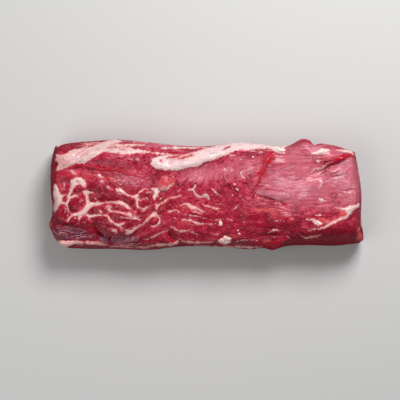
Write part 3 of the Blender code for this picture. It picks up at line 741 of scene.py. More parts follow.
coral = soft_masks(CORAL_AND_HIGHLIGHTS)
veil = soft_masks(VEIL)
blush = soft_masks(BLUSH)
deep = soft_masks(DARK_AND_SHADE_SPOTS)
lobe = np.full(A.shape, -SEARCH)
for centre, radii, turn in LOBES:
    lobe = np.maximum(lobe, min(radii) * (1 - oval_reach(wavered_a, wavered_b, centre, radii, turn)))
cells = soft_step((-fat - 0.3) / 1.1) * soft_masks([((58, 40), (60, 24), 0, 1.0)]) * (1 - film)
deep = np.maximum(deep, LOBE_DARK * cells + 0.15 * soft_step(0.3 + lobe / 1.6) + soft_masks([EYE]) * cells)
scarlet = soft_masks(SCARLET_AND_HIGHLIGHTS)
for half_width, points in SCARLET_STROKES:
    depth = np.full(A.shape, -SEARCH)
    stroke_depth(depth, points, half_width, wavered_a, wavered_b, taper=0.3)
    scarlet = np.maximum(scarlet, soft_step(0.5 + depth / 1.2))
beside_vein = np.full(A.shape, -SEARCH)
for half_width, points in LATTICE + STREAKS:
    stroke_depth(beside_vein, points, 0.9 * half_width + 0.3,
                 wavered_a - THIN_MEAT[0], wavered_b - THIN_MEAT[1])
cut_face = soft_step((A - 90) / 30) * (1 - soft_step((A - 165) / 20)) * soft_step((B - 14) / 6)
coral = np.maximum(coral, 0.5 * soft_step(0.5 + beside_vein / 1.6) * cut_face
                   * (1 - soft_step((B - 62) / 8)))
# Crevices sink the skin, and their mask is painted shade in the colour.
crevice = np.zeros(A.shape)
crevice_depth = np.zeros(A.shape)
for half_width, strength, points in SHADED_CREVICES:
    gap, share = path_distance(points, wavered_a, wavered_b)
    fade = np.sqrt(np.clip(np.sin(math.pi * np.clip(share, 0.04, 0.96)), 0, 1))
    crevice = np.maximum(crevice, strength * fade * bell(gap, half_width))
    crevice_depth = np.maximum(crevice_depth, strength * half_width * fade * bell(gap, half_width))
print("masks: film", round(float(film.mean()), 2), "deep", round(float(deep.mean()), 2),
      "scarlet", round(float(scarlet.mean()), 2))


# %% [markdown]
# The walls were cut or trimmed apart from the top, so they have their own look:
# streaks of fat and film on the back. The walls are also made darker than the top:
# the left end most and the front next, as painted shade where the sides turn away
# from the light, and the right end and the back a little. Height above the table
# replaces the plan there, because the plan is squeezed flat.

# %% Walls: how much of a wall each point is, and their streaks
height = base[..., 2]
normals = grid_normals(base)
facing = {"front": -normals[..., 1], "back": normals[..., 1],
          "left": -normals[..., 0], "right": normals[..., 0]}
wall = {side: soft_step((value - 0.45) / 0.4) for side, value in facing.items()}
long_streak = noise(A / 21.0, height / 2.6, 31) + 0.5 * noise(A / 9.0, height / 1.3, 32)
past_corner = soft_step((A - 45) / 20)
side_face = np.maximum(wall["front"], wall["back"])
hem = 25.0 + 5.0 * noise(A / 19.0, 0 * A + 0.5, 36) + 2.5 * noise(A / 6.0, height / 5.0, 37)
fat = np.where(side_face > 0.3, np.minimum(fat, (height - hem) / 1.2), fat)
above_hem = 1 - side_face * (1 - soft_step((height - hem + 8) / 10))
scarlet, coral = scarlet * above_hem, coral * above_hem
low_back = wall["back"] * (height < 38) * past_corner > 0.5
fat = np.maximum(fat, np.where(low_back, 2.0 * (long_streak - 0.35), -SEARCH))
left_front = wall["front"] * (1 - soft_step((A - 170) / 40))
fat = np.maximum(fat, np.where(left_front > 0.3, 1.6 * (long_streak - 0.62) * left_front, -SEARCH))
END_VEINS = {
    "left": [(0.9, [(98, 26), (84, 23), (72, 29), (63, 25)]),
             (0.7, [(58, 20), (44, 18), (32, 24), (20, 22)]),
             (0.6, [(84, 23), (81, 14), (75, 6)]), (0.6, [(58, 20), (55, 10)]),
             (0.5, [(32, 24), (36, 33)]), (0.5, [(44, 18), (38, 8)])],
    "right": [(0.9, [(44, 38), (36, 32), (28, 26), (20, 18), (14, 13)]),
              (0.6, [(90, 30), (78, 26), (68, 29)]), (0.6, [(60, 28), (50, 22), (40, 31)]),
              (0.5, [(78, 26), (73, 15)]), (0.5, [(50, 22), (46, 10)])],
}
for side, veins in END_VEINS.items():
    on_face = wall[side] > 0.25
    depth = np.full(A.shape, -SEARCH)
    for half_width, points in veins:
        stroke_depth(depth, points, half_width, B + noise(B / 4, height / 4, 35), height, taper=0.25)
    flecks_here = noise(B / 3.4, height / 1.7, 38) + 0.5 * noise(B / 1.5, height / 1.1, 39)
    depth = np.maximum(depth, 1.3 * (flecks_here - 0.95))
    below_edge = 1 - soft_step((height - 24) / 8)
    fat = np.where(on_face, np.maximum(fat - 5 * wall[side] * below_edge, np.minimum(depth, 40 - height)),
                   fat)
    # The end faces are made darker: the left end strongly, as painted shade, and the right end a little.
    deep = np.maximum(deep, wall[side] * (1.6 if side == "left" else 0.3))
# The front wall is made darker as painted shade, more towards the right end; the back wall a little darker.
deep = np.maximum(deep, (0.75 + 0.5 * soft_step((A - 200) / 40)) * wall["front"])
deep = np.maximum(deep, 0.2 * wall["back"])
back_film = past_corner * wall["back"] * soft_step(0.4 + 0.6 * long_streak) * 0.6
film = np.maximum(film * (1 - wall["front"]), back_film)


# %% [markdown]
# Relief gives light something to catch. Fat stands a little proud and is lumpy,
# lean lobes swell between the veins, silverskin is drawn into fine ridges along
# the fibres, and cuts and pockets sink. The direction of the fibres bows
# through the upper middle, so the ridges are looked up in bowed coordinates.

# %% Fibre directions and fine relief
SHORT_FIBRES = 1.5
LONG_FIBRES = 0.9
CUT_FILL, CUT_REACH = 1.9, 2.3
FIBRE_BOW = [(0, 0), (110, 0), (140, 6), (165, 22), (190, 34), (215, 38), (312, 40)]
bow = read_line(FIBRE_BOW, A) * soft_step((B - 52) / 26)
fibre_u = SHORT_FIBRES * A - LONG_FIBRES * np.clip(A - 190, 0, None)
fibre_v = B - bow
inside_fat = soft_step(0.5 + fat / 1.0)
near_fat = bell(np.clip(-fat, 0, None), 1.8)
ridges = noise(fibre_u / 16.0, fibre_v / 1.9, 41) + 0.5 * noise(fibre_u / 9.0, fibre_v / 1.1, 42)
bundles = noise(fibre_u / 10.0, fibre_v / 4.2, 43) + 0.5 * noise(fibre_u / 4.6, fibre_v / 2.0, 44)
lumps = noise(A / 4.2, B / 3.2, 45) + 0.5 * noise(A / 1.9, B / 1.7, 46)
thick_fat = soft_step(np.clip(fat, 0, None) / 3.0)
swell = smooth(np.clip(-fat, 0, 4.0), 3) / 4.0
left_share = 1 - soft_step((A - 95) / 45)
FAN_TURN = math.radians(33)
fan = blob(A, B, (34, 96), (34, 14), 26)
fan_u = A * math.cos(FAN_TURN) + B * math.sin(FAN_TURN)
fan_v = B * math.cos(FAN_TURN) - A * math.sin(FAN_TURN)
fold = noise(fan_u / 13.0, fan_v / 2.1, 53) + 0.5 * noise(fan_u / 7.0, fan_v / 1.1, 54)
blush = blush + fan * (0.9 * np.clip(fold, 0, 1) - 0.15)
lift = (0.14 * inside_fat - 0.55 * fan * inside_fat * fold + 0.60 * thick_fat + (0.15 + 0.3 * thick_fat)
        * inside_fat * lumps
        + (1 - inside_fat) * (0.30 * bundles + film * 0.12 * ridges)
        + left_share * (0.6 * swell + 0.7 * soft_step(lobe / 2.4) - 0.15 * near_fat * (1 - inside_fat))
        - 1.5 * crevice_depth
        + 0.35 * scarlet * (1 - crevice))
cut_gap, _ = path_distance([(204, 53.6), (219, 49), (237, 46)], A, B)
rim_gap = np.minimum(np.minimum(GAPS["front"], GAPS["back"]), np.minimum(GAPS["left"], GAPS["right"]))
lift *= soft_step(0.15 + rim_gap / 1.5)
wall_lift = 0.5 * noise(A / 9.0, height / 6.0, 47) + 0.5 * noise((A + B) / 3.4, height / 2.6, 48)
lift += np.maximum.reduce(list(wall.values())) * wall_lift * soft_step(rim_gap / 1.0)
skin_points = base + normals * lift[..., None]
skin_points[..., 2] += CUT_FILL * bell(cut_gap, CUT_REACH)
print("relief", round(float(lift.min()), 2), "to", round(float(lift.max()), 2), "mm")


# %% [markdown]
# The mesh is the grid on top, a few rings that roll in under the sides, and one
# flat face to rest on. The masks become attributes of its points. Their values
# are plain numbers, so the material and Geometry Nodes can both read them.

# %% Build the skin mesh
UNDER_RINGS = 7
UNDER_INSET = 6.0


def rim_order(columns, rows):
    """Grid indices once round the rim, anticlockwise from the front left."""
    front = [(i, 0) for i in range(columns)]
    right = [(columns, j) for j in range(rows)]
    back = [(columns - i, rows) for i in range(columns)]
    left = [(0, rows - j) for j in range(rows)]
    return np.array(front + right + back + left)


def under_rings(rim):
    """Rings of points that roll in from the rim to the table."""
    s, t = S[rim[:, 0], rim[:, 1]], T[rim[:, 0], rim[:, 1]]
    start = skin_points[rim[:, 0], rim[:, 1]]
    inner = plan_place(0.5 + (s - 0.5) * (1 - 2 * UNDER_INSET / LENGTH),
                       0.5 + (t - 0.5) * (1 - 2 * UNDER_INSET / WIDTH))
    rings = []
    for step in range(1, UNDER_RINGS + 1):
        turn = step * math.pi / (2 * UNDER_RINGS)
        ring = start.copy()
        ring[:, :2] += (1 - math.cos(turn)) * (inner - start[:, :2])
        ring[:, 2] = start[:, 2] * (1 - math.sin(turn)) if step < UNDER_RINGS else 0.0
        rings.append(ring)
    return rings


def skin_mesh():
    """The skin as one closed mesh, and which point of the grid each vertex takes its masks from."""
    columns, rows = S.shape[0] - 1, S.shape[1] - 1
    index = np.arange(S.size).reshape(S.shape)
    faces = np.stack((index[:-1, :-1], index[1:, :-1], index[1:, 1:], index[:-1, 1:]), axis=-1).reshape(-1,
                                                                                                        4)
    rim = rim_order(columns, rows)
    ring_above = index[rim[:, 0], rim[:, 1]]
    points, owner, faces = [skin_points.reshape(-1, 3)], [np.arange(S.size)], [tuple(f) for f in faces]
    count = S.size
    for ring in under_rings(rim):
        ring_below = np.arange(count, count + len(ring))
        count += len(ring)
        points.append(ring)
        owner.append(index[rim[:, 0], rim[:, 1]])
        nxt = np.roll(np.arange(len(ring)), -1)
        faces += [tuple(f)
                  for f in np.stack((ring_above, ring_below, ring_below[nxt], ring_above[nxt]), axis=-1)]
        ring_above = ring_below
    faces.append(tuple(int(v) for v in ring_above[::-1]))
    mesh = bpy.data.meshes.new("beef_skin")
    mesh.from_pydata([tuple(p) for p in to_frame(np.concatenate(points))], [], faces)
    mesh.shade_smooth()
    return mesh, np.concatenate(owner)


def add_attribute(mesh, name, values):
    """Stores one number for each point of a mesh."""
    layer = mesh.attributes.new(name, "FLOAT", "POINT")
    layer.data.foreach_set("value", np.asarray(values, np.float32).ravel())


skin_data, owner = skin_mesh()
webbed = soft_masks([((62, 42), (62, 34), 0, 1.0), ((150, 36), (50, 26), 0, 0.4)]) * (1 - film)
webbed *= 1 - soft_masks([((52, 60), (18, 8), -34, 0.9), ((50, 30), (14, 6), -20, 0.7),
                          ((24, 44), (6, 6), 0, 0.7),
                          ((60, 54), (12, 5), -10, 0.6), ((22, 16), (24, 7), 0, 0.9)])
veil = np.maximum(veil, 0.6 * wall["front"] * (1 - soft_step((A - 110) / 60)))
ring_number = np.maximum(np.arange(len(owner)) - S.size, -1) // (2 * (sum(S.shape) - 2)) + 1
MASKS = {"fat": fat, "blush": blush, "webbed": webbed, "film": film, "deep": deep, "scarlet": scarlet,
         "coral": coral, "lobe": lobe, "veil": veil, "crevice": crevice, "fibre_u": fibre_u,
         "fibre_v": fibre_v}
for name, values in MASKS.items():
    fade = {"fat": 2.2, "lobe": 2.0, "scarlet": 0.4, "coral": 0.4}.get(name, 0.0)
    add_attribute(skin_data, name, values.ravel()[owner] - fade * ring_number)
skin = bpy.data.objects.new("beef_skin", skin_data)
bpy.context.scene.collection.objects.link(skin)
skin_data.update()
print("skin:", len(skin_data.vertices), "points,", sum(len(p.vertices) - 2 for p in skin_data.polygons),
      "triangles")


# %% [markdown]
# Materials come next. Effects that several materials share are node groups with
# named inputs and outputs. The first group makes the texture of muscle: bundles
# drawn out along the fibres, with cracks and a web of thin fat between them.

# %% Helpers for node trees
def new_group(name, inputs, outputs):
    """A shader node group with named sockets. Inputs are (name, kind, default)."""
    group = bpy.data.node_groups.new(name, "ShaderNodeTree")
    for socket, kind, default in inputs:
        made = group.interface.new_socket(socket, in_out="INPUT", socket_type=kind)
        if default is not None:
            made.default_value = default
    for socket, kind in outputs:
        group.interface.new_socket(socket, in_out="OUTPUT", socket_type=kind)
    return group, group.nodes.new("NodeGroupInput"), group.nodes.new("NodeGroupOutput")


def add(tree, kind, **values):
    """Adds a node, sets its properties, and sets or links its inputs given as in_0, in_1 and so on."""
    node = tree.nodes.new(kind)
    for key, value in values.items():
        if not key.startswith("in_"):
            setattr(node, key, value)
    for key, value in values.items():
        if key.startswith("in_"):
            socket = node.inputs[int(key[3:])]
            if isinstance(value, bpy.types.NodeSocket):
                tree.links.new(value, socket)
            else:
                socket.default_value = value
    return node


def math_node(tree, operation, *values):
    """A math node's output."""
    return add(tree, "ShaderNodeMath", operation=operation,
               **{f"in_{k}": value for k, value in enumerate(values)}).outputs[0]


def ramp_between(tree, value, low, high):
    """Smooth 0 to 1 as a value goes from low to high."""
    node = add(tree, "ShaderNodeMapRange", interpolation_type="SMOOTHSTEP", clamp=True)
    tree.links.new(value, node.inputs["Value"])
    node.inputs["From Min"].default_value = low
    node.inputs["From Max"].default_value = high
    return node.outputs["Result"]


def mix_colour(tree, factor, first, second, blend="MIX"):
    """Mixes two colours."""
    node = add(tree, "ShaderNodeMix", data_type="RGBA", blend_type=blend)
    for name, value in (("Factor_Float", factor), ("A_Color", first), ("B_Color", second)):
        socket = next(s for s in node.inputs if s.identifier == name)
        if isinstance(value, bpy.types.NodeSocket):
            tree.links.new(value, socket)
        else:
            socket.default_value = value
    return next(s for s in node.outputs if s.identifier == "Result_Color")


def noise_node(tree, vector, scale, detail=3.0, roughness=0.55):
    """A noise texture's value."""
    node = add(tree, "ShaderNodeTexNoise")
    tree.links.new(vector, node.inputs["Vector"])
    node.inputs["Scale"].default_value = scale
    node.inputs["Detail"].default_value = detail
    node.inputs["Roughness"].default_value = roughness
    return node.outputs[0]


def drift_noise(tree, vector):
    """A noise texture's colour, as a vector that bends another pattern."""
    node = add(tree, "ShaderNodeTexNoise")
    tree.links.new(vector, node.inputs["Vector"])
    node.inputs["Scale"].default_value = 0.16
    node.inputs["Detail"].default_value = 2.0
    return node.outputs["Color"]


# %% The muscle grain group
def muscle_grain_group():
    """Muscle bundles along the fibres: a mottle, fine streaks, cracks between bundles and a web of fat."""
    group, given, out = new_group(
        "muscle_grain",
        [("Along", "NodeSocketFloat", 0.0), ("Across", "NodeSocketFloat", 0.0),
         ("Height", "NodeSocketFloat", 0.0), ("Stretch", "NodeSocketFloat", 3.0)],
        [("Mottle", "NodeSocketFloat"), ("Streak", "NodeSocketFloat"), ("Crack", "NodeSocketFloat"),
         ("Web", "NodeSocketFloat")])
    raised = math_node(group, "MULTIPLY", given.outputs["Height"], 0.7)
    across = math_node(group, "ADD", given.outputs["Across"], raised)
    short = math_node(group, "DIVIDE", given.outputs["Along"], given.outputs["Stretch"])
    long = math_node(group, "DIVIDE", given.outputs["Along"], 9.0)
    place = add(group, "ShaderNodeCombineXYZ", in_0=short, in_1=across,
                in_2=given.outputs["Height"]).outputs[0]
    drawn = add(group, "ShaderNodeCombineXYZ", in_0=long, in_1=across,
                in_2=given.outputs["Height"]).outputs[0]
    mottle = noise_node(group, place, 0.55, 4.0, 0.62)
    streak = noise_node(group, drawn, 1.1, 4.0, 0.65)
    cells = add(group, "ShaderNodeTexVoronoi", feature="DISTANCE_TO_EDGE")
    moved = add(group, "ShaderNodeVectorMath", operation="ADD", in_0=place)
    group.links.new(add(group, "ShaderNodeVectorMath", operation="SCALE", in_0=drift_noise(group, place),
                        in_3=4.0).outputs[0], moved.inputs[1])
    group.links.new(moved.outputs[0], cells.inputs["Vector"])
    cells.inputs["Scale"].default_value = 0.24
    split = math_node(group, "SUBTRACT", 1.0, ramp_between(group, cells.outputs["Distance"], 0.0, 0.09))
    open_here = ramp_between(group, noise_node(group, place, 0.13, 3.0), 0.48, 0.62)
    crack = math_node(group, "MULTIPLY", split, open_here)
    lobules = add(group, "ShaderNodeTexVoronoi", feature="DISTANCE_TO_EDGE")
    wide = add(group, "ShaderNodeCombineXYZ", in_0=math_node(group, "DIVIDE", given.outputs["Along"], 1.7),
               in_1=across, in_2=given.outputs["Height"]).outputs[0]
    drift = add(group, "ShaderNodeVectorMath", operation="ADD", in_0=wide)
    group.links.new(add(group, "ShaderNodeVectorMath", operation="SCALE", in_0=drift_noise(group, wide),
                        in_3=5.0).outputs[0], drift.inputs[1])
    group.links.new(drift.outputs[0], lobules.inputs["Vector"])
    lobules.inputs["Scale"].default_value = 0.15
    thin = math_node(group, "SUBTRACT", 1.0, ramp_between(group, lobules.outputs["Distance"], 0.0, 0.10))
    gaps = ramp_between(group, noise_node(group, wide, 0.22, 2.0), 0.42, 0.56)
    web = math_node(group, "MULTIPLY", thin, gaps)
    for name, value in (("Mottle", mottle), ("Streak", streak), ("Crack", crack), ("Web", web)):
        group.links.new(value, out.inputs[name])
    return group


# %% [markdown]
# The second group turns a depth in millimetres into a mask with a ragged edge,
# by adding a little noise before the threshold. The third group gives fat its
# curd: soft cream lumps with pinker hollows.

# %% The ragged edge and fat curd groups
def ragged_edge_group():
    """Cuts a depth in millimetres into a mask with a ragged edge."""
    group, given, out = new_group(
        "ragged_edge",
        [("Depth", "NodeSocketFloat", 0.0), ("Place", "NodeSocketVector", None),
         ("Raggedness", "NodeSocketFloat", 0.5), ("Softness", "NodeSocketFloat", 0.3)],
        [("Mask", "NodeSocketFloat"), ("Halo", "NodeSocketFloat"), ("Core", "NodeSocketFloat")])
    coarse = noise_node(group, given.outputs["Place"], 0.55, 4.0, 0.62)
    push = math_node(group, "MULTIPLY", math_node(group, "SUBTRACT", coarse, 0.5),
                     given.outputs["Raggedness"])
    depth = math_node(group, "ADD", given.outputs["Depth"], math_node(group, "MULTIPLY", push, 2.0))
    group.links.new(ramp_between(group, depth, 0.1, 1.5), out.inputs["Core"])
    scaled = math_node(group, "DIVIDE", depth, given.outputs["Softness"])
    group.links.new(ramp_between(group, scaled, -1.0, 1.0), out.inputs["Mask"])
    group.links.new(ramp_between(group, depth, -3.0, 0.1), out.inputs["Halo"])
    return group


def fat_curd_group():
    """Colour and lumps of raw fat: cream, pinker in the hollows, and lilac where it is drawn out thin."""
    group, given, out = new_group(
        "fat_curd",
        [("Place", "NodeSocketVector", None), ("Blush", "NodeSocketFloat", 0.3),
         ("Core", "NodeSocketFloat", 1.0), ("Thinness", "NodeSocketFloat", 0.0),
         ("Cream", "NodeSocketColor", (0.74, 0.555, 0.54, 1)),
         ("Pink", "NodeSocketColor", (0.60, 0.22, 0.21, 1)),
         ("Lilac", "NodeSocketColor", (0.50, 0.36, 0.42, 1))],
        [("Color", "NodeSocketColor"), ("Lumps", "NodeSocketFloat")])
    lumps = noise_node(group, given.outputs["Place"], 0.55, 3.0, 0.6)
    fine = noise_node(group, given.outputs["Place"], 1.7, 3.0, 0.6)
    drawn = add(group, "ShaderNodeVectorMath", operation="MULTIPLY", in_0=given.outputs["Place"],
                in_1=(0.14, 0.75, 0.5))
    strings = noise_node(group, drawn.outputs[0], 0.7, 4.0, 0.6)
    both = math_node(group, "ADD", math_node(group, "MULTIPLY", lumps, 0.65),
                     math_node(group, "MULTIPLY", fine, 0.35))
    hollow = math_node(group, "SUBTRACT", 1.0, ramp_between(group, both, 0.34, 0.56))
    amount = math_node(group, "ADD", math_node(group, "MULTIPLY", hollow, 0.28), given.outputs["Blush"])
    rim = math_node(group, "MULTIPLY", math_node(group, "SUBTRACT", 1.0, given.outputs["Core"]), 0.6)
    amount = math_node(group, "ADD", amount, rim)
    thin = math_node(group, "MULTIPLY", ramp_between(group, strings, 0.48, 0.64), given.outputs["Thinness"])
    colour = mix_colour(group, thin, given.outputs["Cream"], given.outputs["Lilac"])
    colour = mix_colour(group, amount, colour, given.outputs["Pink"])
    group.links.new(colour, out.inputs["Color"])
    group.links.new(both, out.inputs["Lumps"])
    return group


MUSCLE_GRAIN = muscle_grain_group()
RAGGED_EDGE = ragged_edge_group()
FAT_CURD = fat_curd_group()


def use_group(tree, group, **links):
    """Places a node group and links or sets its inputs by name."""
    node = add(tree, "ShaderNodeGroup", node_tree=group)
    for name, value in links.items():
        socket = node.inputs[name]
        if isinstance(value, bpy.types.NodeSocket):
            tree.links.new(value, socket)
        else:
            socket.default_value = value
    return node


def place_in_mm(tree):
    """Object coordinates in millimetres."""
    coordinates = add(tree, "ShaderNodeTexCoord").outputs["Object"]
    return add(tree, "ShaderNodeVectorMath", operation="SCALE", in_0=coordinates, in_3=1000.0).outputs[0]


def attribute(tree, name):
    """A named attribute's value."""
    return add(tree, "ShaderNodeAttribute", attribute_name=name).outputs["Fac"]


# %% [markdown]
# The skin's material layers these in the order that a butcher would peel them:
# lean at the bottom, then wet scarlet, then silverskin, then fat, and last painted
# shade in cuts, pockets and creases. Light goes a little way into meat, so the shader
# has a small subsurface share, and a thin coat makes it look moist.

# %% The skin material
LEAN_STOPS = [(0.0, (0.060, 0.001, 0.006, 1)), (0.3, (0.17, 0.003, 0.016, 1)),
              (0.5, (0.33, 0.009, 0.034, 1)),
              (0.75, (0.52, 0.045, 0.086, 1)), (1.0, (0.66, 0.19, 0.235, 1))]
SCARLET_RED = (0.36, 0.001, 0.014, 1)
SCARLET_LIGHT = (0.56, 0.022, 0.040, 1)
CRACK_DARK = (0.10, 0.001, 0.008, 1)
CORAL_RED = (0.57, 0.062, 0.070, 1)
CORAL_PALE = (0.72, 0.24, 0.235, 1)
FILM_PINK = (0.53, 0.125, 0.175, 1)
FILM_PALE = (0.80, 0.39, 0.475, 1)
FILM_GROOVE = (0.32, 0.026, 0.055, 1)
VEIL_DARK = (0.090, 0.014, 0.030, 1)
VEIL_LILAC = (0.36, 0.18, 0.235, 1)
HALO_CORAL = (0.52, 0.045, 0.055, 1)
WEB_PINK = (0.70, 0.32, 0.31, 1)
LOBE_RED = (0.43, 0.003, 0.024, 1)
# Painted shade for cuts, pockets and creases.
CREVICE_SHADE_RED = (0.22, 0.004, 0.018, 1)
CREVICE_SHADE_DARK = (0.030, 0.001, 0.004, 1)
STREAK_AND_GLINT_PINK = (0.60, 0.17, 0.21, 1)


def waved(tree, mask, grain, strength, low, high):
    """A soft mask broken up by the mottle and cut to a ragged patch."""
    wave = math_node(tree, "MULTIPLY", math_node(tree, "SUBTRACT", grain.outputs["Mottle"], 0.5), strength)
    return ramp_between(tree, math_node(tree, "ADD", mask, wave), low, high)


def lean_colour(tree, masks, grain):
    """Muscle: a mottle of bundles, darker in dark meat and where shade is painted, with pale borders, a
    fine web of veins, and pale specks painted as glints.
    """
    normal = add(tree, "ShaderNodeSeparateXYZ", in_0=add(tree, "ShaderNodeNewGeometry").outputs["Normal"])
    facing_up = ramp_between(tree, normal.outputs[2], 0.0, 0.6)
    patches = noise_node(tree, masks["place"], 0.07, 2.0)
    clumps = noise_node(tree, masks["place"], 0.19, 3.0)
    tone = math_node(tree, "ADD", math_node(tree, "MULTIPLY", grain.outputs["Mottle"], 1.0),
                     math_node(tree, "MULTIPLY", grain.outputs["Streak"], 0.45))
    tone = math_node(tree, "ADD", tone, math_node(tree, "MULTIPLY", patches, 0.7))
    tone = math_node(tree, "ADD", tone, math_node(tree, "MULTIPLY", clumps, 0.9))
    beside = math_node(tree, "MULTIPLY", ramp_between(tree, masks["fat"], -2.8, -0.2), masks["webbed"])
    calm = math_node(tree, "SUBTRACT", 1.0, math_node(tree, "MULTIPLY", masks["webbed"], 0.45))
    tone = math_node(tree, "MULTIPLY", math_node(tree, "SUBTRACT", tone, 1.525), calm)
    tone = math_node(tree, "MAXIMUM", math_node(tree, "ADD", tone, 0.53), 0.26)
    tone = math_node(tree, "SUBTRACT", tone, math_node(tree, "MULTIPLY", masks["deep"], 0.32))
    tone = math_node(tree, "ADD", tone, math_node(tree, "MULTIPLY", beside, 0.04))
    bundle = use_group(tree, RAGGED_EDGE, Depth=masks["lobe"], Place=masks["place"], Raggedness=0.6,
                       Softness=0.5)
    tone = math_node(tree, "SUBTRACT", tone, math_node(tree, "MULTIPLY", bundle.outputs["Mask"], 0.05))
    ramp = add(tree, "ShaderNodeValToRGB", in_0=tone)
    for k, (stop, colour) in enumerate(LEAN_STOPS):
        element = ramp.color_ramp.elements[k] if k < 2 else ramp.color_ramp.elements.new(stop)
        element.position, element.color = stop, colour
    cracked = math_node(tree, "MULTIPLY", grain.outputs["Crack"],
                        ramp_between(tree, masks["film"], 0.9, 0.2))
    cracked = math_node(tree, "MULTIPLY", cracked,
                        math_node(tree, "ADD", 0.25, math_node(tree, "MULTIPLY", facing_up, 0.35)))
    colour = mix_colour(tree, cracked, ramp.outputs["Color"], CRACK_DARK)
    ring = math_node(tree, "MULTIPLY", ramp_between(tree, bundle.outputs["Halo"], 0.50, 0.85),
                     math_node(tree, "SUBTRACT", 1.0, bundle.outputs["Mask"]))
    ring = math_node(tree, "MULTIPLY", ring, ramp_between(tree, grain.outputs["Mottle"], 0.42, 0.62))
    colour = mix_colour(tree, math_node(tree, "MULTIPLY", ring, 0.2), colour, WEB_PINK)
    web = math_node(tree, "MULTIPLY", grain.outputs["Web"], masks["webbed"])
    colour = mix_colour(tree, math_node(tree, "MULTIPLY", web, 0.16), colour, WEB_PINK)
    bare = math_node(tree, "SUBTRACT", 1.0, masks["webbed"])
    darker = math_node(tree, "ADD", masks["deep"], 0.6)
    drawn = math_node(tree, "ADD", 0.10,
                      math_node(tree, "MULTIPLY", darker, math_node(tree, "MULTIPLY", bare, 0.13)))
    drawn = math_node(tree, "MULTIPLY", ramp_between(tree, grain.outputs["Streak"], 0.55, 0.68), drawn)
    drawn = math_node(tree, "MULTIPLY", drawn, facing_up)
    colour = mix_colour(tree, drawn, colour, STREAK_AND_GLINT_PINK)
    # Dark grit is crumbly meat; the pale grit is painted glints on wet fibres.
    grit = noise_node(tree, masks["place"], 0.95, 2.0, 0.7)
    dark_grit = math_node(tree, "MULTIPLY", ramp_between(tree, grit, 0.46, 0.32), 0.45)
    glint_share = math_node(tree, "SUBTRACT", 0.5, math_node(tree, "MULTIPLY", masks["deep"], 0.36))
    glint_share = math_node(tree, "MAXIMUM", math_node(tree, "SUBTRACT", glint_share,
                                               math_node(tree, "MULTIPLY", masks["webbed"], 0.2)), 0.1)
    painted_glints = math_node(tree, "MULTIPLY", ramp_between(tree, grit, 0.56, 0.68), glint_share)
    colour = mix_colour(tree, dark_grit, colour, CRACK_DARK)
    colour = mix_colour(tree, painted_glints, colour, STREAK_AND_GLINT_PINK)
    dark_bare = math_node(tree, "MULTIPLY", math_node(tree, "MULTIPLY", masks["deep"], bare), 0.26)
    richer = math_node(tree, "ADD", math_node(tree, "MULTIPLY", masks["webbed"], 0.25), dark_bare)
    return mix_colour(tree, richer, colour, LOBE_RED)


def over_scarlet(tree, masks, grain, colour):
    """Freshly torn meat, wet and bright, and a painted highlight on a round lobe."""
    wet = waved(tree, masks["scarlet"], grain, 1.3, 0.25, 0.9)
    light = ramp_between(tree, grain.outputs["Streak"], 0.46, 0.66)
    bright = mix_colour(tree, math_node(tree, "MULTIPLY", light, 0.7), SCARLET_RED, SCARLET_LIGHT)
    return mix_colour(tree, math_node(tree, "MULTIPLY", wet, 0.94), colour, bright)


def over_coral(tree, masks, grain, colour):
    """Thin meat over fat, which shows through as coral, and a painted reflection on a lobe."""
    warm = waved(tree, masks["coral"], grain, 1.5, 0.2, 1.0)
    light = ramp_between(tree, grain.outputs["Streak"], 0.48, 0.66)
    bright = mix_colour(tree, math_node(tree, "MULTIPLY", light, 0.75), CORAL_RED, CORAL_PALE)
    return mix_colour(tree, math_node(tree, "MULTIPLY", warm, 0.85), colour, bright)


def over_film(tree, masks, grain, colour):
    """Silverskin: a pale pink film with paler streaks and darker grooves along the fibres."""
    speck = math_node(tree, "SUBTRACT", noise_node(tree, masks["place"], 0.8, 3.0, 0.7), 0.5)
    broken = math_node(tree, "ADD", masks["film"], math_node(tree, "MULTIPLY", speck, 1.1))
    amount = waved(tree, broken, grain, 1.2, 0.15, 0.95)
    broad = noise_node(tree, masks["place"], 0.05, 3.0)
    light = ramp_between(tree, math_node(tree, "ADD", grain.outputs["Streak"], broad), 0.95, 1.25)
    groove = math_node(tree, "SUBTRACT", 1.0, ramp_between(tree, grain.outputs["Streak"], 0.32, 0.45))
    pale = mix_colour(tree, math_node(tree, "MULTIPLY", light, 0.7), FILM_PINK, FILM_PALE)
    pale = mix_colour(tree, math_node(tree, "MULTIPLY", groove, 0.38), pale, FILM_GROOVE)
    pale = mix_colour(tree, math_node(tree, "MULTIPLY", masks["deep"], 0.75), pale, LEAN_STOPS[1][1])
    return mix_colour(tree, math_node(tree, "MULTIPLY", amount, 0.85), colour, pale)


def over_veil(tree, masks, grain, colour):
    """A wet grey-lilac membrane over dark meat."""
    amount = waved(tree, masks["veil"], grain, 1.4, 0.3, 0.95)
    folds = ramp_between(tree, grain.outputs["Streak"], 0.44, 0.68)
    lilac = mix_colour(tree, folds, VEIL_DARK, VEIL_LILAC)
    return mix_colour(tree, math_node(tree, "MULTIPLY", amount, 0.85), colour, lilac)


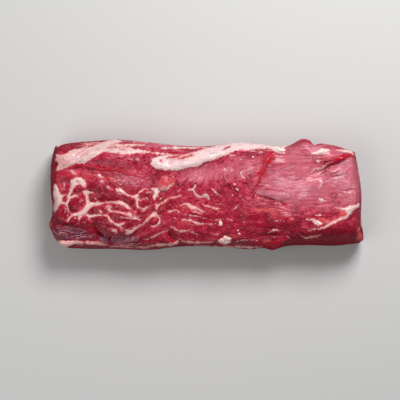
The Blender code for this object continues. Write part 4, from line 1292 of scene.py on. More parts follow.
def skin_material():
    """Raw beef: lean, scarlet, silverskin and fat in one skin."""
    material = bpy.data.materials.new("raw_beef_skin")
    material.use_nodes = True
    tree = material.node_tree
    shader = tree.nodes["Principled BSDF"]
    masks = {name: attribute(tree, name) for name in MASKS}
    masks["place"] = place_in_mm(tree)
    up = add(tree, "ShaderNodeSeparateXYZ", in_0=masks["place"]).outputs[2]
    grain = use_group(tree, MUSCLE_GRAIN, Along=masks["fibre_u"], Across=masks["fibre_v"], Height=up,
                      Stretch=2.4)
    flesh = lean_colour(tree, masks, grain)
    flesh = over_film(tree, masks, grain, flesh)
    flesh = over_scarlet(tree, masks, grain, flesh)
    flesh = over_coral(tree, masks, grain, flesh)
    flesh = over_veil(tree, masks, grain, flesh)
    edge = use_group(tree, RAGGED_EDGE, Depth=masks["fat"], Place=masks["place"], Raggedness=1.5,
                     Softness=0.42)
    thinness = math_node(tree, "SUBTRACT", 0.85, masks["webbed"])
    curd = use_group(tree, FAT_CURD, Place=masks["place"], Blush=masks["blush"], Core=edge.outputs["Core"],
                     Thinness=thinness)
    warmth = math_node(tree, "ADD", 0.10, math_node(tree, "MULTIPLY", masks["webbed"], 0.12))
    flesh = mix_colour(tree, math_node(tree, "MULTIPLY", edge.outputs["Halo"], warmth), flesh, HALO_CORAL)
    colour = mix_colour(tree, edge.outputs["Mask"], flesh, curd.outputs["Color"])
    # Painted shade: cuts, pockets and creases turn dark crimson, and near black along their middles.
    dark = ramp_between(tree, masks["crevice"], 0.2, 0.9)
    pit_shade = mix_colour(tree, ramp_between(tree, masks["crevice"], 0.7, 0.95), CREVICE_SHADE_RED, CREVICE_SHADE_DARK)
    colour = mix_colour(tree, math_node(tree, "MULTIPLY", dark, 0.92), colour, pit_shade)
    tree.links.new(colour, shader.inputs["Base Color"])

    lean_rough = math_node(tree, "ADD", 0.10, math_node(tree, "MULTIPLY", grain.outputs["Mottle"], 0.34))
    rough = add(tree, "ShaderNodeMix", data_type="FLOAT", in_0=edge.outputs["Mask"], in_2=lean_rough,
                in_3=0.45)
    steep = add(tree, "ShaderNodeSeparateXYZ",
                in_0=add(tree, "ShaderNodeNewGeometry").outputs["Normal"]).outputs[2]
    matt = math_node(tree, "MULTIPLY",
                     math_node(tree, "SUBTRACT", 1.0, ramp_between(tree, steep, 0.1, 0.8)), 0.6)
    rough = math_node(tree, "ADD", rough.outputs[0], matt)
    tree.links.new(rough, shader.inputs["Roughness"])
    shader.inputs["Subsurface Weight"].default_value = 0.10
    shader.inputs["Subsurface Radius"].default_value = (1.0, 0.25, 0.15)
    shader.inputs["Subsurface Scale"].default_value = 0.0010
    shader.inputs["Specular IOR Level"].default_value = 0.06
    wet = math_node(tree, "MULTIPLY", ramp_between(tree, steep, 0.25, 0.9),
                    ramp_between(tree, grain.outputs["Mottle"], 0.75, 0.25))
    tree.links.new(math_node(tree, "MULTIPLY", wet, 0.55), shader.inputs["Coat Weight"])
    shader.inputs["Coat Roughness"].default_value = 0.16

    fibres = math_node(tree, "ADD", math_node(tree, "MULTIPLY", grain.outputs["Streak"], 0.6),
                       math_node(tree, "MULTIPLY", grain.outputs["Mottle"], 0.5))
    bump_height = add(tree, "ShaderNodeMix", data_type="FLOAT", in_0=edge.outputs["Mask"], in_2=fibres,
                      in_3=curd.outputs["Lumps"]).outputs[0]
    bump = add(tree, "ShaderNodeBump")
    bump.inputs["Strength"].default_value = 0.55
    bump.inputs["Distance"].default_value = 0.0007
    tree.links.new(bump_height, bump.inputs["Height"])
    tree.links.new(bump.outputs[0], shader.inputs["Normal"])
    return material


skin_data.materials.append(skin_material())
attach(skin, "root")
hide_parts("beef")


# %% [markdown]
# Everything that lies on the meat needs to know where the skin is. A ray from
# one side answers that: it gives the point, the direction that faces out, and
# the place on the grid whose masks belong there.

# %% Finding the skin under a place
LOOK = {"top": (0, 1, 2, -1), "front": (0, 2, 1, 1), "back": (0, 2, 1, -1), "left": (1, 2, 0, 1),
        "right": (1, 2, 0, -1)}
LOOK_FROM = 0.4
CENTRE = np.array([PLAN_CENTRE[0], PLAN_CENTRE[1], 0.0])
surface = {"points": [v.co.copy() for v in skin_data.vertices],
           "faces": [tuple(p.vertices) for p in skin_data.polygons],
           "owner": owner.tolist()}
surface["tree"] = BVHTree.FromPolygons(surface["points"], surface["faces"])


def add_to_surface(mesh, spots):
    """Lets later pieces lie on this one too."""
    first = len(surface["points"])
    surface["points"] += [v.co.copy() for v in mesh.vertices]
    surface["faces"] += [tuple(first + v for v in p.vertices) for p in mesh.polygons]
    surface["owner"] += [int(spot) for spot in spots]


def on_skin(place, side="top"):
    """Point, outward direction and grid index of the skin at a place in millimetres seen from one side."""
    first, second, depth, sign = LOOK[side]
    start, way = np.zeros(3), np.zeros(3)
    start[first], start[second] = place[0], place[1]
    start = (start - CENTRE) * MM
    start[depth], way[depth] = -sign * LOOK_FROM, sign
    point, normal, face, _ = surface["tree"].ray_cast(Vector(start), Vector(way))
    if point is None:
        start[depth] = 0.03 if side == "top" else start[depth] * 0.1
        point, normal, face, _ = surface["tree"].find_nearest(Vector(start))
    return point, normal, surface["owner"][surface["faces"][face][0]]


print("skin over the middle:", round(on_skin((150, 50))[0].z / MM, 1), "mm high")


# %% [markdown]
# Where the knife or a thumb has parted two muscles, a thin layer stands free:
# a torn flap, a lifted tongue, a tag at a corner. Each is lofted from a root,
# which is buried in the skin, to a lip, which lifts off it and is ragged. A
# plane with Solidify would have a lip of one thickness, and torn meat thins
# out, so the two faces are made here and closed round the rim.

# %% Torn flaps
FLAP_ROWS, FLAP_COLUMNS = 10, 44


def flap_points(root, lip, lift, thickness, ragged, ease, side, seed):
    """Upper and lower face of a flap on its own grid, in metres, and the grid index of the skin below."""
    u = np.linspace(0, 1, FLAP_COLUMNS + 1)
    start, end = edge_curve(root, u), edge_curve(lip, u)
    fray = ragged * (noise(u * 9.0, 0 * u + 0.5, seed) + 0.6 * noise(u * 23.0, 0 * u + 0.5, seed + 1))
    reach = np.linalg.norm(end - start, axis=1, keepdims=True)
    end = end + (end - start) / np.maximum(reach, 0.1) * fray[:, None]
    ends = np.clip(np.minimum(u, 1 - u) / max(ease, 0.001), 0, 1) ** 0.6
    upper, lower, spots = [], [], []
    for k in range(FLAP_COLUMNS + 1):
        for row in range(FLAP_ROWS + 1):
            s = row / FLAP_ROWS
            place = start[k] + (end[k] - start[k]) * s
            point, up, spot = on_skin(place, side)
            out = min(s / 0.45, 1.0)
            shown = ends[k] * out * out * (3 - 2 * out)
            swell = 1 + 0.35 * float(noise(np.array([place[0] / 2.6]), np.array([place[1] / 2.2]),
                                           seed + 2)[0])
            rise = lift * shown * s - 0.6 * (1 - shown)
            half = 0.5 * thickness * swell * (0.15 + 0.85 * shown) * math.sqrt(max(1 - s**4, 0.02))
            upper.append(point + up * (rise + half) * MM)
            lower.append(point + up * (rise - half) * MM)
            spots.append(spot)
    return upper, lower, spots


def closed_sheet(name, upper, lower):
    """A closed mesh from an upper and a lower grid of points."""
    rows = FLAP_ROWS + 1
    count = len(upper)
    index = np.arange(count).reshape(-1, rows)
    top = np.stack((index[:-1, :-1], index[1:, :-1], index[1:, 1:], index[:-1, 1:]), axis=-1).reshape(-1, 4)
    rim = np.concatenate((index[0, :-1], index[:-1, -1], index[-1, :0:-1], index[:0:-1, 0]))
    nxt = np.roll(rim, -1)
    wall_faces = np.stack((rim, nxt, nxt + count, rim + count), axis=-1)
    faces = np.concatenate((top, top[:, ::-1] + count, wall_faces)).tolist()
    mesh = bpy.data.meshes.new(name)
    mesh.from_pydata(upper + lower, [], faces)
    tidy = bmesh.new()
    tidy.from_mesh(mesh)
    bmesh.ops.recalc_face_normals(tidy, faces=tidy.faces)
    tidy.to_mesh(mesh)
    tidy.free()
    mesh.shade_smooth()
    return mesh


def make_flap(name, root, lip, lift, thickness, colours, ragged=0.7, ease=0.18, rim=0.0, bare=0.0,
              side="top",
              seed=61):
    """A torn flap with the skin's own material, and the colour masks given beyond its bare share."""
    upper, lower, spots = flap_points(root, lip, lift, thickness, ragged, ease, side, seed)
    mesh = closed_sheet(name, upper, lower)
    spots = np.array(spots + spots)
    along_flap = np.tile(np.linspace(0, 1, FLAP_ROWS + 1), 2 * (FLAP_COLUMNS + 1))
    for mask, values in MASKS.items():
        here = values.ravel()[spots]
        if mask == "fat" and rim > 0:
            here = np.maximum(here, rim - 5.0 * (1 - along_flap))
        elif mask in ("crevice", "lobe"):
            here = 0.0 * along_flap - (mask == "lobe") * SEARCH
        elif mask in colours:
            here = here + (colours[mask] - here) * soft_step((along_flap - bare) / (0.9 - bare))
        add_attribute(mesh, mask, here)
    mesh.materials.append(skin_data.materials[0])
    piece = bpy.data.objects.new(name, mesh)
    bpy.context.scene.collection.objects.link(piece)
    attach(piece, "root")
    add_to_surface(mesh, spots)
    print(name + ":", sum(len(p.vertices) - 2 for p in mesh.polygons), "triangles")


WARM = {"coral": 0.95, "film": 0.0, "deep": 0.0}
TORN_CORAL = {"coral": 0.7, "scarlet": 0.35, "film": 0.0, "deep": 0.0}
TORN = {"scarlet": 0.75, "coral": 0.35, "film": 0.0, "deep": 0.0, "veil": 0.0}
FILMY = {"film": 1.0, "deep": 0.0, "scarlet": 0.0}
FLAPS = {
    "middle_flap": dict(root=[(103, 71), (110, 78), (120, 79), (130, 73)],
                        lip=[(106.4, 68), (109.6, 61.6), (114.6, 59.4), (119, 59.6), (122, 63),
                             (127, 69.6)],
                        lift=0.7, thickness=0.5, colours=TORN_CORAL, ragged=2.2, ease=0.25, rim=0.7,
                        bare=0.1, seed=61),
    "torn_layer_edge": dict(root=[(214, 101), (206, 93), (201, 85), (199, 76), (194, 68), (190, 60)],
                            lip=[(223.4, 96), (218.6, 90), (215.6, 85), (214, 79), (210.8, 73), (208.2, 67),
                                 (203, 58)],
                            lift=1.1, thickness=0.9, colours={"scarlet": 0.75, "coral": 0.3}, ragged=1.6,
                            ease=0.25, bare=0.6, seed=64),
    "front_edge_flap": dict(root=[(204, 12), (213, 12.6), (222, 11.6), (236, 9)],
                            lip=[(206.5, 8), (213, 5.5), (221, 2.6), (228, 3.2), (234, 5)],
                            lift=0.5, thickness=0.8, colours=dict(TORN, scarlet=0.75, coral=0.0, deep=0.5),
                            ragged=2.4, ease=0.3, bare=0.35, seed=67),
    "wet_fold": dict(root=[(272, 90), (283, 96), (293, 98.6), (304, 97.5)],
                     lip=[(276, 83.6), (284, 87), (293, 90.8), (302.6, 94)],
                     lift=1.3, thickness=1.3, colours=dict(TORN, coral=0.0), ragged=0.3, ease=0.35,
                     bare=0.35, seed=70),
    "lifted_tongue": dict(root=[(200, 68), (214, 69), (226, 65), (242, 57)],
                          lip=[(202.6, 55.9), (212.4, 54.1), (220.7, 51.7), (230, 49.1), (238.5, 46.8)],
                          lift=0.6, thickness=0.8, colours=FILMY, ragged=0.3, ease=0.35, bare=0.5, seed=73),
    "eye_overhang": dict(root=[(42, 31), (52, 28), (64, 25), (78, 25), (92, 31)],
                         lip=[(46, 24.4), (53, 18.4), (62, 15), (72, 14.4), (82, 17.4), (93, 22.8)],
                         lift=2.2, thickness=2.0, colours={"coral": 0.35}, ragged=0.3, ease=0.2, bare=0.5,
                         seed=76),
    "smooth_overhang": dict(root=[(58, 76), (65, 72), (71, 68), (77, 64)],
                            lip=[(55.6, 70.8), (62, 66.6), (68, 62.4), (74, 59)],
                            lift=1.2, thickness=1.4, colours={"coral": 0.5}, ragged=0.3, ease=0.3, seed=79),
    "notch_lip": dict(root=[(111, 19), (112, 12), (117, 5), (128, 3)],
                      lip=[(117, 18.4), (117.6, 12.6), (121, 9.4), (129, 7.4)],
                      lift=1.5, thickness=1.5, colours=TORN, ragged=0.5, ease=0.3, bare=0.4, seed=82),
    "end_fold": dict(root=[(272, 82), (281, 88), (291, 88)],
                     lip=[(276.5, 75), (284, 77.6), (290.4, 80)],
                     lift=1.0, thickness=1.2, colours=FILMY, ragged=0.4, ease=0.35, seed=85),
    "pocket_lip": dict(root=[(204, 23), (216, 24), (226, 23), (238, 21)],
                       lip=[(207, 15.4), (215, 16.6), (224, 16), (234, 15.4)],
                       lift=0.4, thickness=0.7, colours={"coral": 0.3}, ragged=0.7, ease=0.3, bare=0.6,
                       seed=88),
    "corner_tag": dict(root=[(305, 7), (307, 12), (305.5, 19)],
                       lip=[(312.2, 7.2), (314.6, 11), (312.2, 15.6)],
                       lift=0.4, thickness=1.0, colours=dict(WARM, scarlet=0.6), ragged=1.3, ease=0.3,
                       seed=91),
    "left_tag": dict(root=[(5, 22), (6, 26), (5, 30)], lip=[(0.4, 23.2), (-1.2, 25.6), (0.4, 28.4)],
                     lift=0.8, thickness=1.3, colours=WARM, ragged=0.5, ease=0.3, rim=0.5, seed=94),
    "low_tag": dict(root=[(10, 15), (9, 12), (11, 9.6)], lip=[(5.2, 13.8), (4.2, 12), (6, 10.4)],
                    lift=0.6, thickness=1.1, colours=WARM, ragged=0.4, ease=0.3, seed=97),
}
for name, shape in FLAPS.items():
    make_flap(name, **shape)
surface["tree"] = BVHTree.FromPolygons(surface["points"], surface["faces"])


# %% [markdown]
# Fat veins stand a little proud of the meat, and their edges catch the light.
# A curve with a bevel could make one vein. There are dozens, each uneven, so
# Geometry Nodes sweep a flat profile along all the paths at once, as wide as an
# attribute says, and push the surface about with noise.

# %% A geometry tree that sweeps strands
def strand_tree():
    """Sweeps a flattened round profile along loose edges that carry half widths."""
    tree = bpy.data.node_groups.new("swept_strands", "GeometryNodeTree")
    for name, kind in (("Geometry", "Geometry"), ("Thickness", "Float"), ("Flatness", "Float"),
                       ("Lumpiness", "Float"), ("Lump Scale", "Float"), ("Sides", "Int"),
                       ("Finish", "Material")):
        tree.interface.new_socket(name, in_out="INPUT", socket_type="NodeSocket" + kind)
    tree.interface.new_socket("Geometry", in_out="OUTPUT", socket_type="NodeSocketGeometry")
    given, out = tree.nodes.new("NodeGroupInput"), tree.nodes.new("NodeGroupOutput")
    paths = add(tree, "GeometryNodeMeshToCurve", in_0=given.outputs["Geometry"])
    up = add(tree, "GeometryNodeInputNamedAttribute", data_type="FLOAT_VECTOR", in_0="up")
    facing = add(tree, "GeometryNodeSetCurveNormal", mode="FREE", in_0=paths.outputs[0])
    tree.links.new(up.outputs[0], facing.inputs["Normal"])
    width = add(tree, "GeometryNodeInputNamedAttribute", data_type="FLOAT", in_0="half_width")
    scale = math_node(tree, "MULTIPLY", width.outputs[0], given.outputs["Thickness"])
    circle = add(tree, "GeometryNodeCurvePrimitiveCircle", in_0=given.outputs["Sides"], in_4=1.0)
    flat = add(tree, "ShaderNodeCombineXYZ", in_0=given.outputs["Flatness"], in_1=1.0, in_2=1.0)
    profile = add(tree, "GeometryNodeTransform", in_0=circle.outputs[0])
    tree.links.new(flat.outputs[0], profile.inputs["Scale"])
    swept = add(tree, "GeometryNodeCurveToMesh", in_0=facing.outputs[0], in_1=profile.outputs[0],
                in_2=scale, in_3=True)
    place = add(tree, "GeometryNodeInputPosition")
    lumps = add(tree, "ShaderNodeTexNoise", in_0=place.outputs[0], in_2=given.outputs["Lump Scale"],
                in_3=2.0)
    centred = add(tree, "ShaderNodeVectorMath", operation="SUBTRACT", in_0=lumps.outputs["Color"],
                  in_1=(0.5, 0.5, 0.5))
    push = add(tree, "ShaderNodeVectorMath", operation="SCALE", in_0=centred.outputs[0],
               in_3=given.outputs["Lumpiness"])
    moved = add(tree, "GeometryNodeSetPosition", in_0=swept.outputs[0], in_3=push.outputs[0])
    smooth_faces = add(tree, "GeometryNodeSetShadeSmooth", in_0=moved.outputs[0])
    real = add(tree, "GeometryNodeRealizeInstances", in_0=smooth_faces.outputs[0])
    finish = add(tree, "GeometryNodeSetMaterial", in_0=real.outputs[0], in_2=given.outputs["Finish"])
    tree.links.new(finish.outputs[0], out.inputs[0])
    return tree


def strand_mesh(name, strands):
    """Loose edges along strands of (point, up, half width in mm, blush)."""
    mesh = bpy.data.meshes.new(name)
    points = [point for strand in strands for point, *_ in strand]
    ends = np.cumsum([len(strand) for strand in strands])
    edges = [(k - 1, k) for k in range(1, len(points)) if k not in set(ends.tolist())]
    mesh.from_pydata(points, edges, [])
    for attribute_name, column, factor in (("half_width", 2, MM), ("blush", 3, 1.0)):
        add_attribute(mesh, attribute_name, [row[column] * factor for strand in strands for row in strand])
    layer = mesh.attributes.new("up", "FLOAT_VECTOR", "POINT")
    layer.data.foreach_set("vector", [x for strand in strands for row in strand for x in row[1]])
    return mesh


def grow(name, mesh, tree, **inputs):
    """Runs a geometry tree on a mesh and keeps the plain mesh as a piece of the beef."""
    piece = bpy.data.objects.new(name, mesh)
    bpy.context.scene.collection.objects.link(piece)
    modifier = piece.modifiers.new(tree.name, "NODES")
    modifier.node_group = tree
    for socket in tree.interface.items_tree:
        if socket.in_out == "INPUT" and socket.name in inputs:
            modifier[socket.identifier] = inputs[socket.name]
    bpy.context.view_layer.update()
    graph = bpy.context.evaluated_depsgraph_get()
    result = bpy.data.meshes.new_from_object(piece.evaluated_get(graph), depsgraph=graph)
    piece.modifiers.remove(modifier)
    piece.data = result
    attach(piece, "root")
    print(name + ":", sum(len(p.vertices) - 2 for p in result.polygons), "triangles")
    return piece


# %% Fat for the raised pieces
def fat_material(name, blush_more=0.0, cream=(0.76, 0.56, 0.53, 1)):
    """Raw fat, pinker where the piece's blush says."""
    material = bpy.data.materials.new(name)
    material.use_nodes = True
    tree = material.node_tree
    shader = tree.nodes["Principled BSDF"]
    blush_here = math_node(tree, "ADD", attribute(tree, "blush"), blush_more)
    curd = use_group(tree, FAT_CURD, Place=place_in_mm(tree), Blush=blush_here, Cream=cream)
    tree.links.new(curd.outputs["Color"], shader.inputs["Base Color"])
    rough = math_node(tree, "ADD", 0.28, math_node(tree, "MULTIPLY", curd.outputs["Lumps"], 0.3))
    tree.links.new(rough, shader.inputs["Roughness"])
    bump = add(tree, "ShaderNodeBump")
    bump.inputs["Strength"].default_value = 0.4
    bump.inputs["Distance"].default_value = 0.0005
    tree.links.new(curd.outputs["Lumps"], bump.inputs["Height"])
    tree.links.new(bump.outputs[0], shader.inputs["Normal"])
    shader.inputs["Subsurface Weight"].default_value = 0.5
    shader.inputs["Subsurface Radius"].default_value = (1.0, 0.35, 0.28)
    shader.inputs["Subsurface Scale"].default_value = 0.0018
    shader.inputs["Specular IOR Level"].default_value = 0.15
    return material


STRANDS = strand_tree()
VEIN_FAT = fat_material("raw_fat_vein")
VEIN_SHARE = 0.55
THINNEST_VEIN = 1.0
VEIN_STEP = 1.1
VEIN_SUNK = 0.10


def vein_strand(half_width, points):
    """A vein's points on the skin, where the painted fat has wavered to."""
    path = rounded(points, VEIN_STEP)
    strand = []
    for k, (along, inward) in enumerate(path):
        share = np.array([k / (len(path) - 1)])
        width = float(stroke_width(points, half_width, share, 0.4)[0])
        drift = waver(np.array([along]), np.array([inward]))
        point, up, spot = on_skin((along - drift[0][0], inward - drift[1][0]))
        pink = 0.10 + 0.9 * float(blush.ravel()[spot]) + 0.3 * max(0.0, 1 - width / 1.1)
        strand.append((point - up * VEIN_SUNK * width * MM, up, max(width * VEIN_SHARE, 0.12), pink))
    return strand


veins = [vein_strand(half_width, points) for half_width, points in LATTICE + STREAKS
         if half_width >= THINNEST_VEIN]
grow("fat_veins", strand_mesh("vein_paths", veins), STRANDS, Thickness=1.0, Flatness=0.25, Lumpiness=0.0010,
     Sides=8, Finish=VEIN_FAT, **{"Lump Scale": 420.0})


# %% [markdown]
# Between the veins the meat is sprinkled with small flecks of fat, drawn out
# along the fibres. Placing them by hand would take a day, and a particle system
# doesn't export. Geometry Nodes scatter points over the skin, thicker where an
# attribute says, put a low lens on each, and make the lenses real.

# %% Marbling flecks
def fleck_tree():
    """Scatters drawn-out lenses over a mesh, as thick as its marbling attribute says."""
    tree = bpy.data.node_groups.new("scattered_flecks", "GeometryNodeTree")
    for name, kind in (("Geometry", "Geometry"), ("Spacing", "Float"), ("Density", "Float"),
                       ("Smallest", "Vector"), ("Largest", "Vector"), ("Seed", "Int"),
                       ("Finish", "Material")):
        tree.interface.new_socket(name, in_out="INPUT", socket_type="NodeSocket" + kind)
    tree.interface.new_socket("Geometry", in_out="OUTPUT", socket_type="NodeSocketGeometry")
    given, out = tree.nodes.new("NodeGroupInput"), tree.nodes.new("NodeGroupOutput")
    marbling = add(tree, "GeometryNodeInputNamedAttribute", data_type="FLOAT", in_0="marbling")
    points = add(tree, "GeometryNodeDistributePointsOnFaces", distribute_method="POISSON",
                 in_0=given.outputs["Geometry"])
    for socket, source in (("Distance Min", given.outputs["Spacing"]),
                           ("Density Max", given.outputs["Density"]),
                           ("Density Factor", marbling.outputs[0]), ("Seed", given.outputs["Seed"])):
        tree.links.new(source, points.inputs[socket])
    lay = add(tree, "FunctionNodeRandomValue", data_type="FLOAT_VECTOR", in_0=(1, -0.45, 0),
              in_1=(1, 0.6, 0))
    turn = add(tree, "FunctionNodeAxesToRotation", primary_axis="Z", secondary_axis="X",
               in_0=points.outputs["Normal"], in_1=lay.outputs[0])
    size = add(tree, "FunctionNodeRandomValue", data_type="FLOAT_VECTOR", in_0=given.outputs["Smallest"],
               in_1=given.outputs["Largest"])
    lens = add(tree, "GeometryNodeMeshIcoSphere", in_0=1.0, in_1=2)
    placed = add(tree, "GeometryNodeInstanceOnPoints", in_0=points.outputs[0], in_2=lens.outputs[0],
                 in_5=turn.outputs[0], in_6=size.outputs[0])
    real = add(tree, "GeometryNodeRealizeInstances", in_0=placed.outputs[0])
    soft = add(tree, "GeometryNodeSetShadeSmooth", in_0=real.outputs[0])
    finish = add(tree, "GeometryNodeSetMaterial", in_0=soft.outputs[0], in_2=given.outputs["Finish"])
    tree.links.new(finish.outputs[0], out.inputs[0])
    return tree


MARBLED = [((60, 42), (56, 34), 0, 0.6), ((150, 36), (52, 30), 0, 0.8), ((240, 30), (40, 14), 4, 0.45),
           ((190, 60), (30, 20), 0, 0.5), ((262, 60), (36, 20), 0, 0.2), ((40, 76), (34, 8), -8, 0.5)]
marbling = soft_masks(MARBLED) * (fat < -0.6) * (1 - crevice) * (normals[..., 2] > 0.3)
marbling *= soft_step(0.5 + 0.9 * noise(A / 11.0, B / 8.0, 51))
add_attribute(skin_data, "marbling", marbling.ravel()[owner])
flecks = grow("marbling_flecks", skin_data.copy(), fleck_tree(), Spacing=0.0018, Density=60000.0,
              Smallest=(0.0003, 0.00016, 0.00008), Largest=(0.0013, 0.00038, 0.00016), Seed=7,
              Finish=fat_material("raw_fat_fleck", 0.75))


# %% [markdown]
# Lumps of fat were left by the knife: a nugget near the front edge, a nodule at
# the corner, knobs along the back band. Each is a ball pressed to an oval,
# pushed about by the random field and sunk to its waist in the meat. A
# metaball would merge them, but its mesh is hard to keep small.

# %% Lumps of fat
LUMP_STEPS = 4


def lump_points(ball, radii, turn, seed):
    """A ball's points pressed to an uneven oval, in millimetres."""
    x, y, z = ball.T
    uneven = 1 + 0.30 * noise(1.4 * x + 0.9 * z, 1.4 * y - 0.7 * z, seed)
    uneven += 0.14 * noise(3.6 * x - 1.2 * z, 3.6 * y + 1.9 * z, seed + 1)
    shaped = ball * uneven[:, None] * np.array(radii)
    angle = math.radians(turn)
    return np.stack((shaped[:, 0] * math.cos(angle) - shaped[:, 1] * math.sin(angle),
                     shaped[:, 0] * math.sin(angle) + shaped[:, 1] * math.cos(angle), shaped[:, 2]),
                     axis=-1)


def make_lumps(name, rows, finish):
    """One piece of several lumps: place, radii in millimetres, turn, blush, side."""
    unit = bmesh.new()
    bmesh.ops.create_icosphere(unit, subdivisions=LUMP_STEPS, radius=1.0)
    ball = np.array([v.co for v in unit.verts])
    corners = np.array([[v.index for v in f.verts] for f in unit.faces])
    unit.free()
    points, faces, pink = [], [], []
    for k, (place, radii, turn, blush_here, side) in enumerate(rows):
        foot, up, _ = on_skin(place, side)
        tilt = Vector((0, 0, 1)).rotation_difference(up).to_matrix()
        shaped = lump_points(ball, radii, turn, 101 + 3 * k)
        faces.append(corners + len(ball) * k)
        points += [foot + tilt @ Vector(point) * MM for point in shaped]
        pink += [blush_here] * len(ball)
    mesh = bpy.data.meshes.new(name)
    mesh.from_pydata(points, [], np.concatenate(faces).tolist())
    add_attribute(mesh, "blush", pink)
    mesh.shade_smooth()
    mesh.materials.append(finish)
    piece = bpy.data.objects.new(name, mesh)
    bpy.context.scene.collection.objects.link(piece)
    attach(piece, "root")
    print(name + ":", len(rows), "lumps,", len(mesh.polygons), "triangles")


LUMPS = [
    ((171.6, 9.6), (3.4, 2.6, 0.8), 10, 0.34, "top"), ((176.2, 8.2), (3.6, 2.4, 0.8), -20, 0.26, "top"),
    ((178.2, 11.4), (2.6, 2.2, 0.7), 30, 0.22, "top"), ((174.8, 12.4), (2.4, 1.9, 0.7), 60, 0.28, "top"),
    ((170.2, 27.2), (1.7, 2.5, 0.5), 12, 0.24, "top"),
    ((15.5, 6.6), (6.2, 3.0, 1.6), -4, 0.60, "top"), ((10.6, 7.8), (3.0, 2.4, 1.4), 30, 0.70, "top"),
    ((20.5, 7.4), (4.4, 2.2, 1.3), 0, 0.60, "top"),
    ((202.4, 92.6), (1.2, 0.8, 0.3), 0, 0.35, "top"), ((187.5, 20.0), (0.8, 0.7, 0.3), 0, 0.25, "top"),
    ((188.9, 16.8), (1.2, 0.7, 0.3), -20, 0.45, "top"),
    ((230.6, 99.6), (4.2, 2.8, 1.0), -8, 0.12, "top"), ((234.6, 103.2), (2.6, 1.3, 0.8), 16, 0.12, "top"),
    ((226.0, 101.8), (3.6, 2.0, 0.9), 0, 0.10, "top"),
    ((269.4, 98.4), (4.6, 2.2, 0.9), 14, 0.20, "top"), ((263.6, 96.0), (3.6, 1.3, 0.7), 4, 0.25, "top"),
    ((274.6, 98.8), (2.6, 1.5, 0.7), 0, 0.20, "top"), ((8.8, 103.6), (2.2, 1.6, 0.9), 0, 0.45, "top"),
    ((72.2, 59.0), (2.4, 1.5, 0.8), -26, 0.25, "top"), ((51.0, 74.0), (1.7, 1.1, 0.6), -20, 0.20, "top"),
    ((296.0, 40.6), (2.8, 1.4, 0.6), 40, 0.20, "top"), ((267.4, 27.4), (2.6, 1.2, 0.5), -30, 0.20, "top"),
    ((106.6, 57.0), (1.6, 2.2, 0.6), 0, 0.30, "top"), ((43.0, 46.0), (3.0, 1.5, 0.5), 10, 0.30, "top"),
    ((27.0, 35.4), (3.2, 1.4, 0.5), 10, 0.30, "top"), ((31.6, 70.6), (3.2, 1.6, 0.6), 6, 0.30, "top"),
]
# The lumps' cream is paler than the veins' fat: painted light that makes up for the shade on their sides
# away from the light.
make_lumps("fat_lumps", LUMPS, fat_material("raw_fat_lump_painted_light", cream=(1.0, 0.72, 0.66, 1)))


# %% [markdown]
# Folds, ribs and fibres are the finest lines. The corner fan is drawn into
# folds, the foot of the front side is ribbed like cord where it was pressed,
# and silky fibres lie over the dark muscle at the back. They use the same
# geometry tree as the veins, with other widths and other finishes.

# %% Folds, ribs and fibres
FAN_FOLDS = [
    [(29.7, 89.5), (37, 95), (45.5, 100), (54, 105)], [(33, 86.8), (42, 92), (50, 98), (57, 103.5)],
    [(12, 92), (20, 95.5), (28, 100)], [(8.4, 95), (10, 88), (14, 81)],
    [(14.6, 94), (16.4, 91.4), (18.4, 88.6)],
    [(22, 97), (34, 102), (46, 106)], [(24, 91), (36, 98), (47, 103), (58, 108.5)],
    [(27, 88), (40, 96.5), (52, 103.5), (62, 109)], [(20, 84.6), (30, 88), (38, 93)],
    [(60, 98.4), (72, 99), (84, 98.4)],
    [(56, 101), (70, 101), (82, 100)], [(12, 86), (14, 82), (19, 82.6)],
]
MEMBRANE_LINES = [
    [(3, 19.5), (8.3, 16.8), (12.5, 17.6), (18, 17.2)], [(6, 14.4), (10, 15.6), (14, 14.4), (19, 15.4)],
    [(25, 11.2), (32.5, 13.2), (43.3, 14.4)], [(20, 12.6), (27, 14.6), (35, 15.8), (47, 15.6)],
    [(9, 19), (15, 20), (22, 18.6)], [(22, 17.6), (30, 17.2), (37, 18.6)],
    [(50, 9.6), (54, 12.6), (57, 15.6)],
    [(52, 8.6), (56.6, 11.4), (60, 15)], [(86, 5.8), (94, 7.6), (103, 7)], [(64, 7), (74, 6.2), (86, 7.2)],
    [(232, 80.4), (238, 81.6), (244, 84.6)], [(260.6, 70.8), (265.6, 69.4), (268.2, 64), (266.6, 60.4)],
    [(216, 79), (221, 77.6), (226, 78.4)], [(286, 75), (293, 78.6), (297, 84)],
    [(283, 72), (291, 74), (300, 74.6)],
]


def skin_strand(points, half_width, pink, sunk, side="top", step=1.2, taper=0.3):
    """A line's points on the skin, sunk by a share of its width."""
    path = rounded(points, step)
    rows = []
    for k, place in enumerate(path):
        width = float(stroke_width(points, half_width, np.array([k / (len(path) - 1)]), taper)[0])
        point, up, _ = on_skin(place, side)
        rows.append((point - up * sunk * width * MM, up, max(width, 0.08), pink))
    return rows


def fibre_rows(box, slope, length, count, half_width, seed, side="top"):
    """Seeded short fibres in a box, all near one slope."""
    rng = np.random.default_rng(seed)
    rows = []
    for _ in range(count):
        start = rng.uniform(box[0], box[1])
        reach = length * rng.uniform(0.5, 1.2)
        turn = slope + rng.normal(0, 0.10)
        bend = rng.normal(0, 0.06)
        path = [(start[0] + reach * s * math.cos(turn + bend * s),
                 start[1] + reach * s * math.sin(turn + bend * s))
                for s in (0, 0.33, 0.66, 1)]
        rows.append(skin_strand(path, half_width * rng.uniform(0.6, 1.3), rng.uniform(0, 1), 0.1, side))
    return rows


